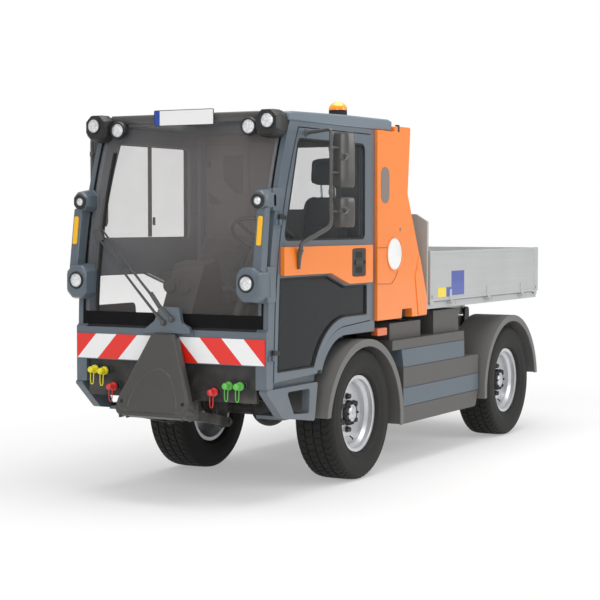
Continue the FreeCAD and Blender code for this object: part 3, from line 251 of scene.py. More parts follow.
def sweep(path, section, scale=None, closed=False):
    """A section (a, b) carried along a path: path point + a along one side + b along the other."""
    path = np.asarray(path, float)
    section = np.asarray(section, float)
    count = len(path)
    ahead = np.roll(path, -1, 0) - np.roll(path, 1, 0)
    if not closed:
        ahead[0], ahead[-1] = path[1] - path[0], path[-1] - path[-2]
    ahead /= np.linalg.norm(ahead, axis=1)[:, None]
    first = np.cross(ahead[0], [0, 0, 1] if abs(ahead[0][2]) < 0.9 else [0, 1, 0])
    side = [first / np.linalg.norm(first)]
    for i in range(1, count):
        turn = side[-1] - ahead[i] * (side[-1] @ ahead[i])
        side.append(turn / np.linalg.norm(turn))
    side = np.array(side)
    up = np.cross(side, ahead)
    size = np.ones(count) if scale is None else np.asarray(scale)
    rings = (path[:, None] + size[:, None, None] * (section[None, :, :1] * side[:, None]
                                                    + section[None, :, 1:] * up[:, None]))
    points, faces = grid(rings, wrap_u=closed, wrap_v=True)
    if not closed:
        n = len(section)
        faces += [list(range(n)), list(range((count - 1) * n, count * n))[::-1]]
    return outward(points, faces)


def circle(radius, sides=12):
    angle = np.linspace(0, 2 * math.pi, sides, endpoint=False)
    return np.stack([radius * np.cos(angle), radius * np.sin(angle)], 1)


def oval(a, b, sides=20, power=2.5):
    """A rounded box outline: the superellipse |u/a|^p + |v/b|^p = 1."""
    angle = np.linspace(0, 2 * math.pi, sides, endpoint=False)
    c, s = np.cos(angle), np.sin(angle)
    return np.stack([a * np.sign(c) * np.abs(c) ** (2 / power), b * np.sign(s) * np.abs(s) ** (2 / power)], 1)


def tube(path, radius, sides=12):
    """A round bar along a path."""
    return sweep(path, circle(radius, sides))


print("points of a short bar:", len(tube([(0, 0, 0), (0, 0, 1)], 0.01)[0]))

# %% [markdown]
# A mesh becomes a piece of the truck when it has a finish and rides on a body. A small bevel
# catches the light along each edge, as every real edge does, and costs only a few faces.

# %% Make a piece
made = []


def piece(name, shape, finish, body, slot=None, bevel=0.0, crease=35.0, replaces=()):
    """Puts a shape's points, moved from the axle's origin to the frame's, into a new mesh."""
    points, faces = shape
    mesh = bpy.data.meshes.new(name)
    mesh.from_pydata((points + np.array([AXLE_X, 0, 0])).tolist(), [], faces)
    mesh.update()
    mesh.polygons.foreach_set("use_smooth", np.ones(len(mesh.polygons), bool))
    mesh.set_sharp_from_angle(angle=math.radians(crease))
    mesh.materials.append(finish)
    thing = bpy.data.objects.new(name, mesh)
    bpy.context.scene.collection.objects.link(thing)
    if bevel:
        edge = thing.modifiers.new("edge", "BEVEL")
        edge.width = bevel
        edge.segments = 2
        edge.limit_method = "ANGLE"
        edge.angle_limit = math.radians(40)
    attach(thing, body)
    if replaces:
        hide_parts(*replaces)
    made.append(name)
    return thing


def pair(name, shape, finish, body, slot, replaces=(), **more):
    """One piece for each side of the truck, riding on that side's own body."""
    for word, side in SIDES:
        piece(name + word, on_side(shape, side), finish, body + word, slot,
              replaces=[node + word for node in replaces], **more)


print("pieces so far:", len(made))

# %% [markdown]
# A material is a sum, so it reads best as one. This small class stands for a socket, and
# Python's own operators on it add the Math nodes. Anything else, a noise or a mix, comes
# from one method that takes the node's kind, its settings and its inputs.

# %% Shader values
class Value:
    """A shader socket. Operators on it add the Math nodes that work them out."""

    def __init__(self, finish, socket):
        self.finish = finish
        self.socket = socket

    def _math(self, operation, *inputs):
        return self.finish.node("ShaderNodeMath", {"operation": operation}, *inputs)

    def __add__(self, other):
        return self._math("ADD", self, other)

    def __sub__(self, other):
        return self._math("SUBTRACT", self, other)

    def __rsub__(self, other):
        return self._math("SUBTRACT", other, self)

    def __mul__(self, other):
        return self._math("MULTIPLY", self, other)

    def __truediv__(self, other):
        return self._math("DIVIDE", self, other)

    def __mod__(self, other):
        return self._math("FLOORED_MODULO", self, other)

    def __gt__(self, other):
        return self._math("GREATER_THAN", self, other)

    def __lt__(self, other):
        return self._math("LESS_THAN", self, other)

    def __abs__(self):
        return self._math("ABSOLUTE", self)

    __radd__ = __add__
    __rmul__ = __mul__

    def between(self, low, high):
        """1 where the value lies between two numbers, and 0 elsewhere."""
        return (self > low) * (self < high)

    def ramp(self, low, high, to_low=0.0, to_high=1.0):
        """A smooth step from one number to another as the value goes from low to high."""
        settings = {"interpolation_type": "SMOOTHSTEP"}
        return self.finish.node("ShaderNodeMapRange", settings, self, low, high, to_low, to_high)


print("operators of a value:", sum(key.startswith("__") for key in dir(Value)))

# %% [markdown]
# A finish owns the material. Its methods give the usual inputs, such as the place on the
# truck or a noise, and send the sums to the sockets of the shader.

# %% A finish
class Finish:
    """A material with one Principled shader, and the methods that feed it."""

    def __init__(self, name, **constants):
        self.material = bpy.data.materials.new(name)
        self.material.use_nodes = True
        self.tree = self.material.node_tree
        self.shader = self.tree.nodes["Principled BSDF"]
        for key, value in constants.items():
            self.shader.inputs[key.replace("_", " ")].default_value = value
        self._place = None

    def node(self, kind, settings, *inputs, output=0, **named):
        """Adds a node, makes its settings, then links or sets its sockets."""
        made_node = self.tree.nodes.new(kind)
        for key, value in settings.items():
            setattr(made_node, key, value)
        pairs = list(enumerate(inputs)) + [(key.replace("_", " "), v) for key, v in named.items()]
        for key, value in pairs:
            socket = made_node.inputs[key]
            if isinstance(value, Value):
                self.tree.links.new(value.socket, socket)
            elif value is not None:
                socket.default_value = value
        return Value(self, made_node.outputs[output])

    def place(self):
        """Object coordinates, which are the frame's own, since each object sits at its origin."""
        if self._place is None:
            self._place = self.node("ShaderNodeTexCoord", {}, output="Object")
        return self._place

    def xyz(self):
        split = self.node("ShaderNodeSeparateXYZ", {}, self.place()).socket.node
        return [Value(self, split.outputs[i]) for i in range(3)]

    def noise(self, scale, detail=3.0, stretch=None):
        """Noise between 0 and 1, stretched along an axis where stretch gives three factors."""
        place = self.place()
        if stretch:
            place = self.node("ShaderNodeVectorMath", {"operation": "MULTIPLY"}, place, stretch)
        return self.node("ShaderNodeTexNoise", {}, Vector=place, Scale=scale, Detail=detail)

    def blend(self, share, one, other):
        """A colour between two, by a Mix node: share 0 gives one, share 1 gives the other."""
        mixer = self.tree.nodes.new("ShaderNodeMix")
        mixer.data_type = "RGBA"
        for key, value in ((0, share), (6, one), (7, other)):
            if isinstance(value, Value):
                self.tree.links.new(value.socket, mixer.inputs[key])
            elif key:
                mixer.inputs[key].default_value = (*value[:3], 1.0)
            else:
                mixer.inputs[key].default_value = value
        return Value(self, mixer.outputs[2])

    def bump(self, height, distance):
        """Sends a height through a Bump node to the shader's normal."""
        self.link("Normal", self.node("ShaderNodeBump", {}, Height=height, Distance=distance))

    def link(self, key, value):
        self.tree.links.new(value.socket, self.shader.inputs[key])


def shade(colour, factor):
    """The colour made lighter or darker by a factor."""
    return tuple(min(1.0, c * factor) for c in colour)


print("a grey made darker:", shade((0.5, 0.5, 0.5), 0.9))

# %% [markdown]
# Paint on a truck like this is smooth with a slight orange peel, and varies a little where
# panels were sprayed apart and where road dust has settled low down. One recipe takes the
# colour and the gloss, so the blue-grey, the orange and the black chassis paint share it.

# %% Paint
def paint(name, colour, roughness=0.35, coat=0.4, peel=0.00006, dust=0.35):
    """Colour times a soft cloud, with dust that fades out half a metre above the ground."""
    f = Finish(name, IOR=1.45, Coat_Roughness=0.12)
    cloud = f.noise(2.3, 4.0)
    fine = f.noise(160.0, 2.0)
    z = f.xyz()[2]
    base = f.blend(cloud, shade(colour, 0.93), shade(colour, 1.06))
    low_dust = z.ramp(0.95, 0.2) * f.noise(9.0, 5.0).ramp(0.35, 0.75) * dust
    f.link("Base Color", f.blend(low_dust, base, (0.28, 0.25, 0.21)))
    f.link("Roughness", fine * 0.06 + (roughness - 0.03) + low_dust * 0.4)
    f.link("Coat Weight", coat - low_dust * coat)
    f.bump(f.noise(420.0, 1.0), peel)
    return f.material


def moulded(name, colour, roughness=0.55, grain=0.00012, scale=700.0):
    """Moulded plastic: a fine pebbled grain, and a sheen that wears smooth in soft patches."""
    f = Finish(name, IOR=1.46)
    worn = f.noise(3.1, 4.0)
    pebbles = f.node("ShaderNodeTexVoronoi", {}, Vector=f.place(), Scale=scale)
    f.link("Base Color", f.blend(worn, shade(colour, 0.88), shade(colour, 1.12)))
    f.link("Roughness", worn.ramp(0.3, 0.7, roughness - 0.08, roughness + 0.07))
    f.bump(pebbles, grain)
    return f.material


def metal(name, colour, roughness=0.3, depth=0.00002, scale=240.0):
    """Bare metal with a ground or cast surface, by a fine noise."""
    f = Finish(name, Metallic=1.0)
    grain = f.noise(scale)
    f.link("Base Color", f.blend(grain, shade(colour, 0.85), shade(colour, 1.1)))
    f.link("Roughness", grain * 0.2 + (roughness - 0.1))
    f.bump(grain, depth)
    return f.material


BLUE_GREY = (0.104, 0.132, 0.160)
ORANGE = (0.90, 0.225, 0.018)
DARK_GREY = (0.098, 0.096, 0.092)

blue_grey = paint("blue_grey_paint", BLUE_GREY, roughness=0.38, coat=0.35)
orange = paint("orange_gloss", ORANGE, roughness=0.30, coat=0.5, dust=0.0)
chassis_black = paint("chassis_black", (0.018, 0.018, 0.019), roughness=0.5, coat=0.1, dust=0.5)
roof_paint = paint("roof_paint", shade(BLUE_GREY, 1.5), roughness=0.36, coat=0.35, dust=0.0)
dark_plastic = moulded("dark_moulding", shade(DARK_GREY, 1.55), roughness=0.52)
coupling_grey = moulded("coupling_grey", shade(DARK_GREY, 0.72), roughness=0.36)
black_plastic = moulded("black_moulding", (0.020, 0.020, 0.021), roughness=0.42)
cab_trim = moulded("cab_trim", (0.042, 0.040, 0.039), roughness=0.6, grain=0.00003)
wall_trim = moulded("wall_trim", (0.098, 0.091, 0.089), roughness=0.6, grain=0.00003)
mirror_shell = moulded("mirror_shell", (0.085, 0.083, 0.081), roughness=0.20, grain=0.00002)
steel = metal("bright_steel", (0.62, 0.62, 0.63), roughness=0.22)
dark_steel = metal("dark_steel", (0.07, 0.07, 0.075), roughness=0.45, scale=90.0, depth=0.0001)
rubber = moulded("black_rubber", (0.016, 0.016, 0.016), roughness=0.75, scale=300.0)
print("first finishes made:", len(bpy.data.materials))

# %% [markdown]
# The bed is anodised aluminium: pale, not very shiny, with long faint lines from the
# extrusion press. Noise stretched fifty times along the truck gives those lines. The
# anodised skin is part oxide, so the shader is part metal rather than a mirror.

# %% Aluminium, rims and tyres
def anodised():
    """Pale oxide skin: long press lines over a soft smear."""
    f = Finish("anodised_aluminium", Metallic=0.45)
    lines = f.noise(60.0, 3.0, stretch=(0.02, 1.0, 1.0))
    smear = f.noise(3.5, 5.0)
    tone = f.blend(smear, (0.50, 0.51, 0.51), (0.60, 0.61, 0.61))
    f.link("Base Color", f.blend(lines * 0.5, tone, (0.44, 0.45, 0.46)))
    f.link("Roughness", lines * 0.12 + smear * 0.1 + 0.34)
    f.bump(lines, 0.00008)
    return f.material


def silver_wheel():
    """Silver wheel paint: fine flakes by a small noise, and brake dust in soft patches by a larger one."""
    f = Finish("silver_wheel_paint", Metallic=0.55, Coat_Roughness=0.1)
    flakes = f.noise(900.0, 1.0)
    smear = f.noise(14.0, 4.0)
    f.link("Base Color", f.blend(smear * 0.5, (0.66, 0.67, 0.69), (0.50, 0.50, 0.50)))
    f.link("Roughness", flakes * 0.14 + 0.24)
    f.link("Coat Weight", smear * 0.5)
    f.bump(flakes, 0.00001)
    return f.material


def tyre_rubber():
    """Black rubber, greyer where it is worn, with fine pores."""
    f = Finish("tyre_rubber", IOR=1.5, Specular_IOR_Level=0.25)
    worn = f.noise(7.0, 5.0)
    pores = f.noise(380.0, 2.0)
    f.link("Base Color", f.blend(worn, (0.013, 0.013, 0.013), (0.030, 0.029, 0.027)))
    f.link("Roughness", worn * 0.2 + 0.55)
    f.bump(pores, 0.0002)
    return f.material


aluminium = anodised()
sheet_grey = paint("sheet_grey", (0.42, 0.40, 0.37), roughness=0.5, coat=0.0, dust=0.0)
rim_silver = silver_wheel()
tyre_black = tyre_rubber()
print("finishes so far:", len(bpy.data.materials))

# %% [markdown]
# The front panel's warning stripes slope down and outwards at about 45 degrees, and mirror
# each other about the truck's middle. They could be a picture, but a formula is sharper:
# move the distance from the middle by the height, divide by the stripe's width, and
# every second whole number is red.

# %% Warning stripes
STRIPE_WIDTH = 0.1445
STRIPE_START = 0.068
STRIPE_SLOPE = 0.93


def warning_stripes():
    """Red where the shifted distance from the middle falls in every second stripe's width."""
    f = Finish("warning_stripes", Roughness=0.3, Coat_Weight=0.3)
    _, y, z = f.xyz()
    top = span("hazard_panel")[1][2]
    run = abs(y) + (z - top) * STRIPE_SLOPE - STRIPE_START + 2 * STRIPE_WIDTH
    red = (run / (2 * STRIPE_WIDTH)) % 1.0 > 0.5
    cells = f.node("ShaderNodeTexVoronoi", {}, Vector=f.place(), Scale=260.0)
    white = f.blend(cells * 0.3, (0.90, 0.90, 0.90), (0.74, 0.74, 0.75))
    f.link("Base Color", f.blend(red, white, (0.80, 0.018, 0.008)))
    f.bump(cells, 0.00004)
    return f.material


print("stripe width:", STRIPE_WIDTH, "m")

# %% [markdown]
# The plate, the signs and the stickers stay blank. The quilted trim is two sets of slanting
# lines, by the modulo of the sum and of the difference of two coordinates.

# %% Plate, signs and quilted trim
PLATE_BOX = ((-0.204, 2.134), (0.204, 2.226))
PLATE_EDGE, PLATE_STRIP = 0.004, 0.040


def blank_plate():
    """A white plate with a thin black edge and a plain blue strip at its right-hand end."""
    f = Finish("blank_plate", Roughness=0.25, Coat_Weight=0.3)
    _, y, z = f.xyz()
    low, high = PLATE_BOX
    centre, rise = (low[1] + high[1]) / 2, (high[1] - low[1]) / 2
    edge = ((abs(y) > high[0] - PLATE_EDGE) + (abs(z - centre) > rise - PLATE_EDGE)) > 0.5
    field = f.blend(y < low[0] + PLATE_STRIP, (0.86, 0.86, 0.86), (0.015, 0.06, 0.35))
    f.link("Base Color", f.blend(edge, field, (0.02, 0.02, 0.02)))
    f.bump(f.noise(30.0), 0.0001)
    return f.material


def plain_gloss(name, colour, roughness=0.25):
    """One plain colour with a faint cloud, for signs, stickers, caps and flashers."""
    f = Finish(name, Coat_Weight=0.3)
    cloud = f.noise(25.0, 3.0)
    f.link("Base Color", f.blend(cloud, shade(colour, 0.94), shade(colour, 1.04)))
    f.link("Roughness", cloud * 0.1 + roughness)
    f.bump(cloud, 0.00005)
    return f.material


hazard = warning_stripes()
plate_white = blank_plate()
sign_white = plain_gloss("sign_white", (0.84, 0.84, 0.84))
label_blue = plain_gloss("label_blue", (0.045, 0.075, 0.36))
label_yellow = plain_gloss("label_yellow", (0.86, 0.66, 0.01))
cap_yellow = plain_gloss("cap_yellow", (0.80, 0.72, 0.01), 0.4)
cap_green = plain_gloss("cap_green", (0.12, 0.52, 0.08), 0.4)
cap_red = plain_gloss("cap_red", (0.72, 0.03, 0.03), 0.4)
lamp_amber = plain_gloss("lamp_amber", (0.95, 0.50, 0.01))
marker_orange = plain_gloss("marker_orange", (0.70, 0.15, 0.04))
# Painted shade: the grey-brown of the towers' slot and hole, for the shaded openings and the dark parts
# behind them.
slot_grey = plain_gloss("slot_grey", (0.22, 0.18, 0.165), 0.6)
seam_orange = plain_gloss("seam_orange", (0.42, 0.075, 0.008), 0.5)
QUILT = 0.045


def quilted_trim():
    """Black trim stitched in diamonds: two sets of slanting lines by the modulo of sums, pressed in by the
    bump, with painted shade along them.
    """
    f = Finish("quilted_trim", Roughness=0.6)
    x, _, z = f.xyz()
    lines = abs(((x + z) / QUILT) % 1.0 - 0.5) * abs(((x - z) / QUILT) % 1.0 - 0.5)
    # Painted shade: darker along the stitched lines, where the bump presses them in.
    f.link("Base Color", f.blend(lines.ramp(0.0, 0.04), (0.012, 0.012, 0.012), (0.040, 0.038, 0.037)))
    f.bump(lines, 0.002)
    return f.material


quilted = quilted_trim()
print("finishes so far:", len(bpy.data.materials))

# %% [markdown]
# Tinted glass could be a refracting shader, but thin panes look the same when part of the
# light simply passes through and the rest shows the tint and the reflection. That is the
# alpha of a glossy dark surface. The windscreen's coat is pale and hardly glossy instead,
# so its grey veil is a painted reflection. It costs less to render and survives export.

# %% Glass and lamp glass
# On the windscreen the coat that grows between these heights is the painted reflection; on the doors it is
# the tint.
VEIL = (0.9, 1.7)  # between these heights the tint grows to its full share
LOWER_PANE = 1.27
# Share of painted shade over the left door's lower pane.
LOWER_PANE_SHADE = 0.82
SCREEN_SIDE, SCREEN_FOOT = 0.014, 0.075  # widths of the windscreen's printed edge


def glass_coat(name, tint_and_reflection, opacity, print_and_shade=None, shine=0.5):
    """A smooth coat that covers a share of what lies behind it: a dark tint on the doors, a pale painted
    reflection on the windscreen. It is black along the windscreen's printed border, and as painted shade on
    the left door's lower pane.
    """
    f = Finish(name, Base_Color=(*tint_and_reflection, 1.0), IOR=1.5, Specular_IOR_Level=shine)
    smear = f.noise(5.0, 3.0)
    z = f.xyz()[2]
    cover = smear * 0.04 + z.ramp(*VEIL, opacity * 0.35, opacity)
    # The mask is the printed edge on the windscreen, and painted shade on the left door's lower pane.
    if print_and_shade:
        edge = print_and_shade(f)
        cover = edge * (1.0 - opacity) + cover
        f.link("Base Color", f.blend(edge, tint_and_reflection, (0.012, 0.012, 0.013)))
    f.link("Alpha", cover)
    f.link("Roughness", smear * 0.03 + 0.02)
    return f.material


def screen_edge(f):
    """The black printed edge of the windscreen; the rear pane has none."""
    x, y, z = f.xyz()
    low, high = span("cab_glass")
    side = abs(y) > high[1] - SCREEN_SIDE
    foot = z < low[2] + SCREEN_FOOT
    on_screen = x > AXLE_X + 0.5
    return ((side + foot) > 0.5) * on_screen


def lower_pane_shade(f):
    """Painted shade: the left door's lower pane is made much darker than the upper one, for the shaded cab
    inside seen through it. The right door's pane stays clear.
    """
    _, y, z = f.xyz()
    return (z < LOWER_PANE) * (y > 0.0) * LOWER_PANE_SHADE


# The windscreen's pale grey coat hardly reflects. It is a painted reflection: a veil over the cab inside that
# grows towards the top.
screen_glass = glass_coat("screen_glass", (0.44, 0.41, 0.40), 0.12, screen_edge, shine=0.05)
door_glass = glass_coat("door_glass", (0.09, 0.10, 0.105), 0.12, lower_pane_shade, shine=0.12)


def lens():
    """Clear moulded lamp glass over a bright reflector, with fine facets by a cell pattern."""
    f = Finish("lamp_lens", Metallic=0.1, Coat_Weight=1.0, Coat_Roughness=0.03)
    facets = f.node("ShaderNodeTexVoronoi", {}, Vector=f.place(), Scale=70.0)
    f.link("Base Color", f.blend(facets, (0.92, 0.93, 0.94), (0.50, 0.51, 0.53)))
    f.link("Roughness", facets * 0.2 + 0.1)
    f.bump(facets, 0.002)
    return f.material


def beacon_glass():
    """Amber that glows more towards the top, above a black foot."""
    f = Finish("beacon_amber", Coat_Weight=0.8, Coat_Roughness=0.05)
    z = f.xyz()[2]
    low, high = span("beacon")
    foot = z < low[2] + 0.080
    glow = z.ramp(low[2] + 0.09, high[2])
    amber = f.blend(glow, (0.90, 0.22, 0.005), (1.0, 0.55, 0.03))
    f.link("Base Color", f.blend(foot, amber, (0.02, 0.02, 0.02)))
    f.link("Roughness", f.noise(60.0) * 0.1 + 0.1)
    f.link("Emission Color", f.blend(foot, (0.9, 0.3, 0.01), (0.0, 0.0, 0.0)))
    f.shader.inputs["Emission Strength"].default_value = 0.25
    return f.material


lamp_lens = lens()
beacon_amber = beacon_glass()
print("finishes so far:", len(bpy.data.materials))

# %% [markdown]
# The long boxes between the wheels are dark moulded panels with two painted strips let in.
# On the real truck those are separate sheets. Here the seams are cut in the solid, so a
# mask by height is enough to tell the finishes apart. The seats' cloth is a weave of two
# waves crossed at right angles.

# %% Side box panels and seat cloth
BLUE_STRIPS = ((0.6445, 0.758), (0.390, 0.506))


def side_panels():
    """Dark moulding, with the blue-grey paint between two pairs of heights."""
    f = Finish("side_panels", IOR=1.46)
    z = f.xyz()[2]
    strips = z.between(*BLUE_STRIPS[0]) + z.between(*BLUE_STRIPS[1])
    grain = f.node("ShaderNodeTexVoronoi", {}, Vector=f.place(), Scale=700.0)
    worn = f.noise(3.0, 4.0)
    plain = f.blend(worn, shade(DARK_GREY, 0.9), shade(DARK_GREY, 1.12))
    f.link("Base Color", f.blend(strips, plain, BLUE_GREY))
    f.link("Roughness", worn * 0.1 + 0.48 - strips * 0.08)
    f.bump(grain * (1.0 - strips), 0.00012)
    return f.material


side_finish = side_panels()


def woven(name, colour):
    """Seat cloth: two sets of fine threads crossed at right angles, by the product of waves."""
    f = Finish(name, Sheen_Weight=0.2, Sheen_Roughness=0.6)
    threads = [f.node("ShaderNodeTexWave", {"wave_type": "BANDS", "bands_direction": way},
                      Vector=f.place(), Scale=190.0, output="Fac") for way in ("Y", "Z")]
    weave = threads[0] * threads[1]
    cloud = f.noise(9.0, 4.0)
    f.link("Base Color", f.blend(weave * 0.25 + cloud * 0.5, shade(colour, 0.8), shade(colour, 1.3)))
    f.link("Roughness", cloud * 0.1 + 0.82)
    f.bump(weave, 0.0001)
    return f.material


seat_cloth = woven("seat_cloth", (0.030, 0.030, 0.032))
print("finishes made:", len(bpy.data.materials))

# %% [markdown]
# Every solid of the truck gets one of these finishes, so that the list below reads like a
# painter's order. The solids themselves aren't moved or changed. Where a finer piece takes
# a solid's place further down, its own finish comes with it.

# %% Give each solid its finish
finish_of = {}


def dress(finish, *names):
    """Notes one finish for several solids."""
    for name in names:
        finish_of[name] = finish


dress(chassis_black, "frame", "front_axle", "rear_axle", "knuckle_left", "knuckle_right", "tie_rod",
      "engine", "subframe", "ram_barrel", "lift_arms", "top_link", "tail_lamps", "coupler_panel")
dress(steel, "ram_stage", "ram_rod")
dress(blue_grey, "side_frames", "front_panel", "lamp_posts", "steps", "door_left", "door_right",
      "wiper")
dress(roof_paint, "roof")
dress(cab_trim, "cab_floor", "console")
dress(wall_trim, "rear_wall")
dress(black_plastic, "steering_wheel", "light_bar", "door_fittings_left", "door_fittings_right")
dress(orange, "towers", "door_band_left", "door_band_right")
dress(screen_glass, "cab_glass")
dress(door_glass, "door_glass_left", "door_glass_right")
dress(hazard, "hazard_panel")
dress(lamp_lens, "lamp_lenses")
dress(plate_white, "number_plate")
dress(beacon_amber, "beacon")
dress(dark_plastic, "front_fenders", "rear_fenders")
dress(coupling_grey, "coupling_triangle")
dress(side_finish, "side_boxes")
dress(seat_cloth, "seats")
dress(aluminium, "bed", "side_board_left", "side_board_right", "tailboard")
dress(sheet_grey, "headboard")
for wheel in ("front_left", "front_right", "rear_left", "rear_right"):
    dress(tyre_black, "tyre_" + wheel)
    dress(rim_silver, "rim_" + wheel)

for name, node in nodes.items():
    node.data.materials.clear()
    node.data.materials.append(finish_of[name])
print("solids dressed:", len(finish_of), "of", len(nodes))

# %% [markdown]
# A tyre is a profile carried round the axle. Its crown is cut by three straight grooves and
# by slots that run across the ribs. The rows of the grid follow the slots, so a groove
# needs only two rows for each wall, and its edges stay crisp with few faces.

# %% Tyres
HALF_TRACK = middle("tyre_front_left").y
WHEELS = [("%s_%s" % (end, word), side, (axle, side * HALF_TRACK, AXLE_Z))
          for end, axle in (("front", 0.0), ("rear", REAR_AXLE)) for word, side in SIDES]
TREAD_PITCHES = 54
GROOVES = (-0.056, 0.0, 0.056)
GROOVE_HALF = 0.0042
GROOVE_DEPTH = 0.008
SLOT_DEPTH, SHOULDER_DEPTH = 0.0045, 0.0035
CROWN_HALF = 0.0995
SLOT_SHARES = np.array([0.0, 0.05, 0.26, 0.31, 0.62])


def tyre():
    """Point at angle a, profile (r, s): r sinks where s lies in a groove or a in a slot."""
    side = smooth_path([(0.2223, 0.0894), (0.236, 0.0894), (0.2475, 0.112), (0.262, 0.1215),
                        (0.267, 0.1205), (0.300, 0.1300), (0.333, 0.1325), (0.366, 0.1298),
                        (0.372, 0.1302), (0.389, 0.1215), (0.4005, 0.1090)], 3)
    walls = [c + way * d for c in GROOVES for way in (-1, 1) for d in (GROOVE_HALF, GROOVE_HALF + 0.0012)]
    ribs = [-0.100, -0.098, -0.080, -0.040, -0.022, 0.022, 0.040, 0.080, 0.098, 0.100]
    across = np.array(sorted(walls + list(GROOVES) + ribs))
    crown = np.stack([TYRE_RADIUS - 0.0035 * (across / 0.1) ** 4, across], 1)
    profile = np.vstack([side, crown[::-1], (side * [1, -1])[::-1]])
    radius, offset = profile[:, 0], profile[:, 1]
    in_groove = np.min(np.abs(offset[:, None] - np.array(GROOVES)), axis=1) < GROOVE_HALF + 0.0002
    on_crown = radius > 0.3995
    on_rib = on_crown & ~in_groove & (np.abs(offset) < CROWN_HALF)
    on_shoulder = (radius > 0.385) & (np.abs(offset) > CROWN_HALF)
    share = np.tile(SLOT_SHARES, TREAD_PITCHES)
    turn = np.repeat(np.arange(TREAD_PITCHES), len(SLOT_SHARES)) + share
    in_slot = (share > 0.04) & (share < 0.27)
    lean = 0.42 * np.sin(offset / 0.056 * math.pi) + 5.0 * offset
    angle = 2 * math.pi * (turn[:, None] + lean[None]) / TREAD_PITCHES
    depth = GROOVE_DEPTH * (in_groove & on_crown)[None] + np.zeros((len(turn), 1))
    depth = np.where(in_slot[:, None] & on_rib[None], SLOT_DEPTH, depth)
    depth = np.where(in_slot[:, None] & on_shoulder[None], SHOULDER_DEPTH, depth)
    r = radius[None] - depth
    points = np.stack([r * np.cos(angle), offset[None] + 0 * r, r * np.sin(angle)], -1)
    return outward(*grid(points, wrap_u=True, wrap_v=True))


tread = tyre()
for name, side, place in WHEELS:
    piece("tread_" + name, moved(on_side(tread, side), *place), tyre_black, "wheel_" + name, "tyre",
          crease=28, replaces=["tyre_" + name])
print("faces in one tyre:", len(tread[1]))

# %% [markdown]
# Each steel wheel is held by six nuts under black plastic caps. The hub in the middle has
# its own ring of small bolts, with a bright end cap. These are plain lathe shapes set in a
# circle, and one wheel's set is placed four times.

# %% Nut caps, hub bolts and valve
STUD_RADIUS = 0.1025
DISC_FACE = 0.022
HUB_FACE = 0.062


def in_circle(shape, count, radius, start=0.0):
    """Copies of a shape spaced evenly round the Y axis at a radius."""
    angles = [2 * math.pi * k / count + start for k in range(count)]
    return joined(*[moved(shape, radius * math.cos(a), 0, radius * math.sin(a)) for a in angles])


nut_cap = lathe([(0.0, 0.0285), (0.009, 0.028), (0.0145, 0.0255), (0.0165, 0.021), (0.0178, 0.004),
                 (0.0205, 0.002), (0.0205, 0.0), (0.0, 0.0)], 20)
caps = moved(in_circle(nut_cap, 6, STUD_RADIUS, math.pi / 6), 0, DISC_FACE + 0.0003)
small_bolt = lathe([(0.0, 0.014), (0.0065, 0.013), (0.0085, 0.010), (0.0085, 0.0), (0.0, 0.0)], 12)
hub_ring = lathe([(0.046, 0.0), (0.046, 0.006), (0.050, 0.008), (0.070, 0.006), (0.076, -0.004),
                  (0.079, -0.022), (0.050, -0.022)], 40)
hub_bolts = joined(moved(in_circle(small_bolt, 8, 0.061), 0, 0.004), hub_ring)
end_cap = lathe([(0.0, 0.010), (0.010, 0.010), (0.011, 0.006), (0.030, 0.006), (0.036, 0.003),
                 (0.040, 0.0), (0.0, 0.0)], 32)
valve = tube(smooth_path([(0.150, 0.030, 0.0), (0.158, 0.042, 0.0), (0.170, 0.052, 0.0)], 5), 0.0045, 10)
caps = joined(caps, turned(valve, (0, 1, 0), 100))
WHEEL_PARTS = (("nut_caps_", caps, black_plastic, "black_plastic"),
               ("hub_bolts_", moved(hub_bolts, 0, HUB_FACE - 0.008), dark_steel, "chassis_black"),
               ("hub_cap_", moved(end_cap, 0, HUB_FACE), rim_silver, "rim_silver"))
for name, side, place in WHEELS:
    for part, shape, finish, slot in WHEEL_PARTS:
        piece(part + name, moved(on_side(shape, side), *place), finish, "wheel_" + name, slot)
print("pieces so far:", len(made))

# %% [markdown]
# The lamps on the windscreen posts are round lenses in a black ring, with an amber flasher
# between them. A lens bulges a little, and its face is a lathe profile round the X axis.

# %% Lamps on the posts and over the screen
def lens_dome(radius, bulge):
    """Profile r, x of a shallow dome: x falls with the square of r."""
    r = np.linspace(0.0, radius, 9)
    dome = np.stack([r, bulge * (1 - (r / radius) ** 2) + 0.002], 1)
    return lathe(np.vstack([dome, [(radius, 0.0), (0.0, 0.0)]]), 40, "x")


def lamp_ring(radius, depth, width):
    """The black ring round a lens: a raised lip whose outer side slopes back."""
    return lathe([(radius - 0.001, -0.001), (radius - 0.001, depth - 0.002), (radius + 0.002, depth),
                  (radius + width * 0.7, depth - 0.001), (radius + width, 0.0),
                  (radius + width, -0.001)], 44, "x")


def pod(stations, cut):
    """Eight-sided rings along X. A station gives x, then the ring's y and z limits."""
    rings = []
    for x, y0, y1, z0, z1 in stations:
        rings.append([(x, y0 + cut, z0), (x, y1 - cut, z0), (x, y1, z0 + cut), (x, y1, z1 - cut),
                      (x, y1 - cut, z1), (x, y0 + cut, z1), (x, y0, z1 - cut), (x, y0, z0 + cut)])
    points, faces = grid(np.array(rings), wrap_v=True)
    faces += [list(range(8)), list(range(len(points) - 8, len(points)))[::-1]]
    return outward(points, faces)


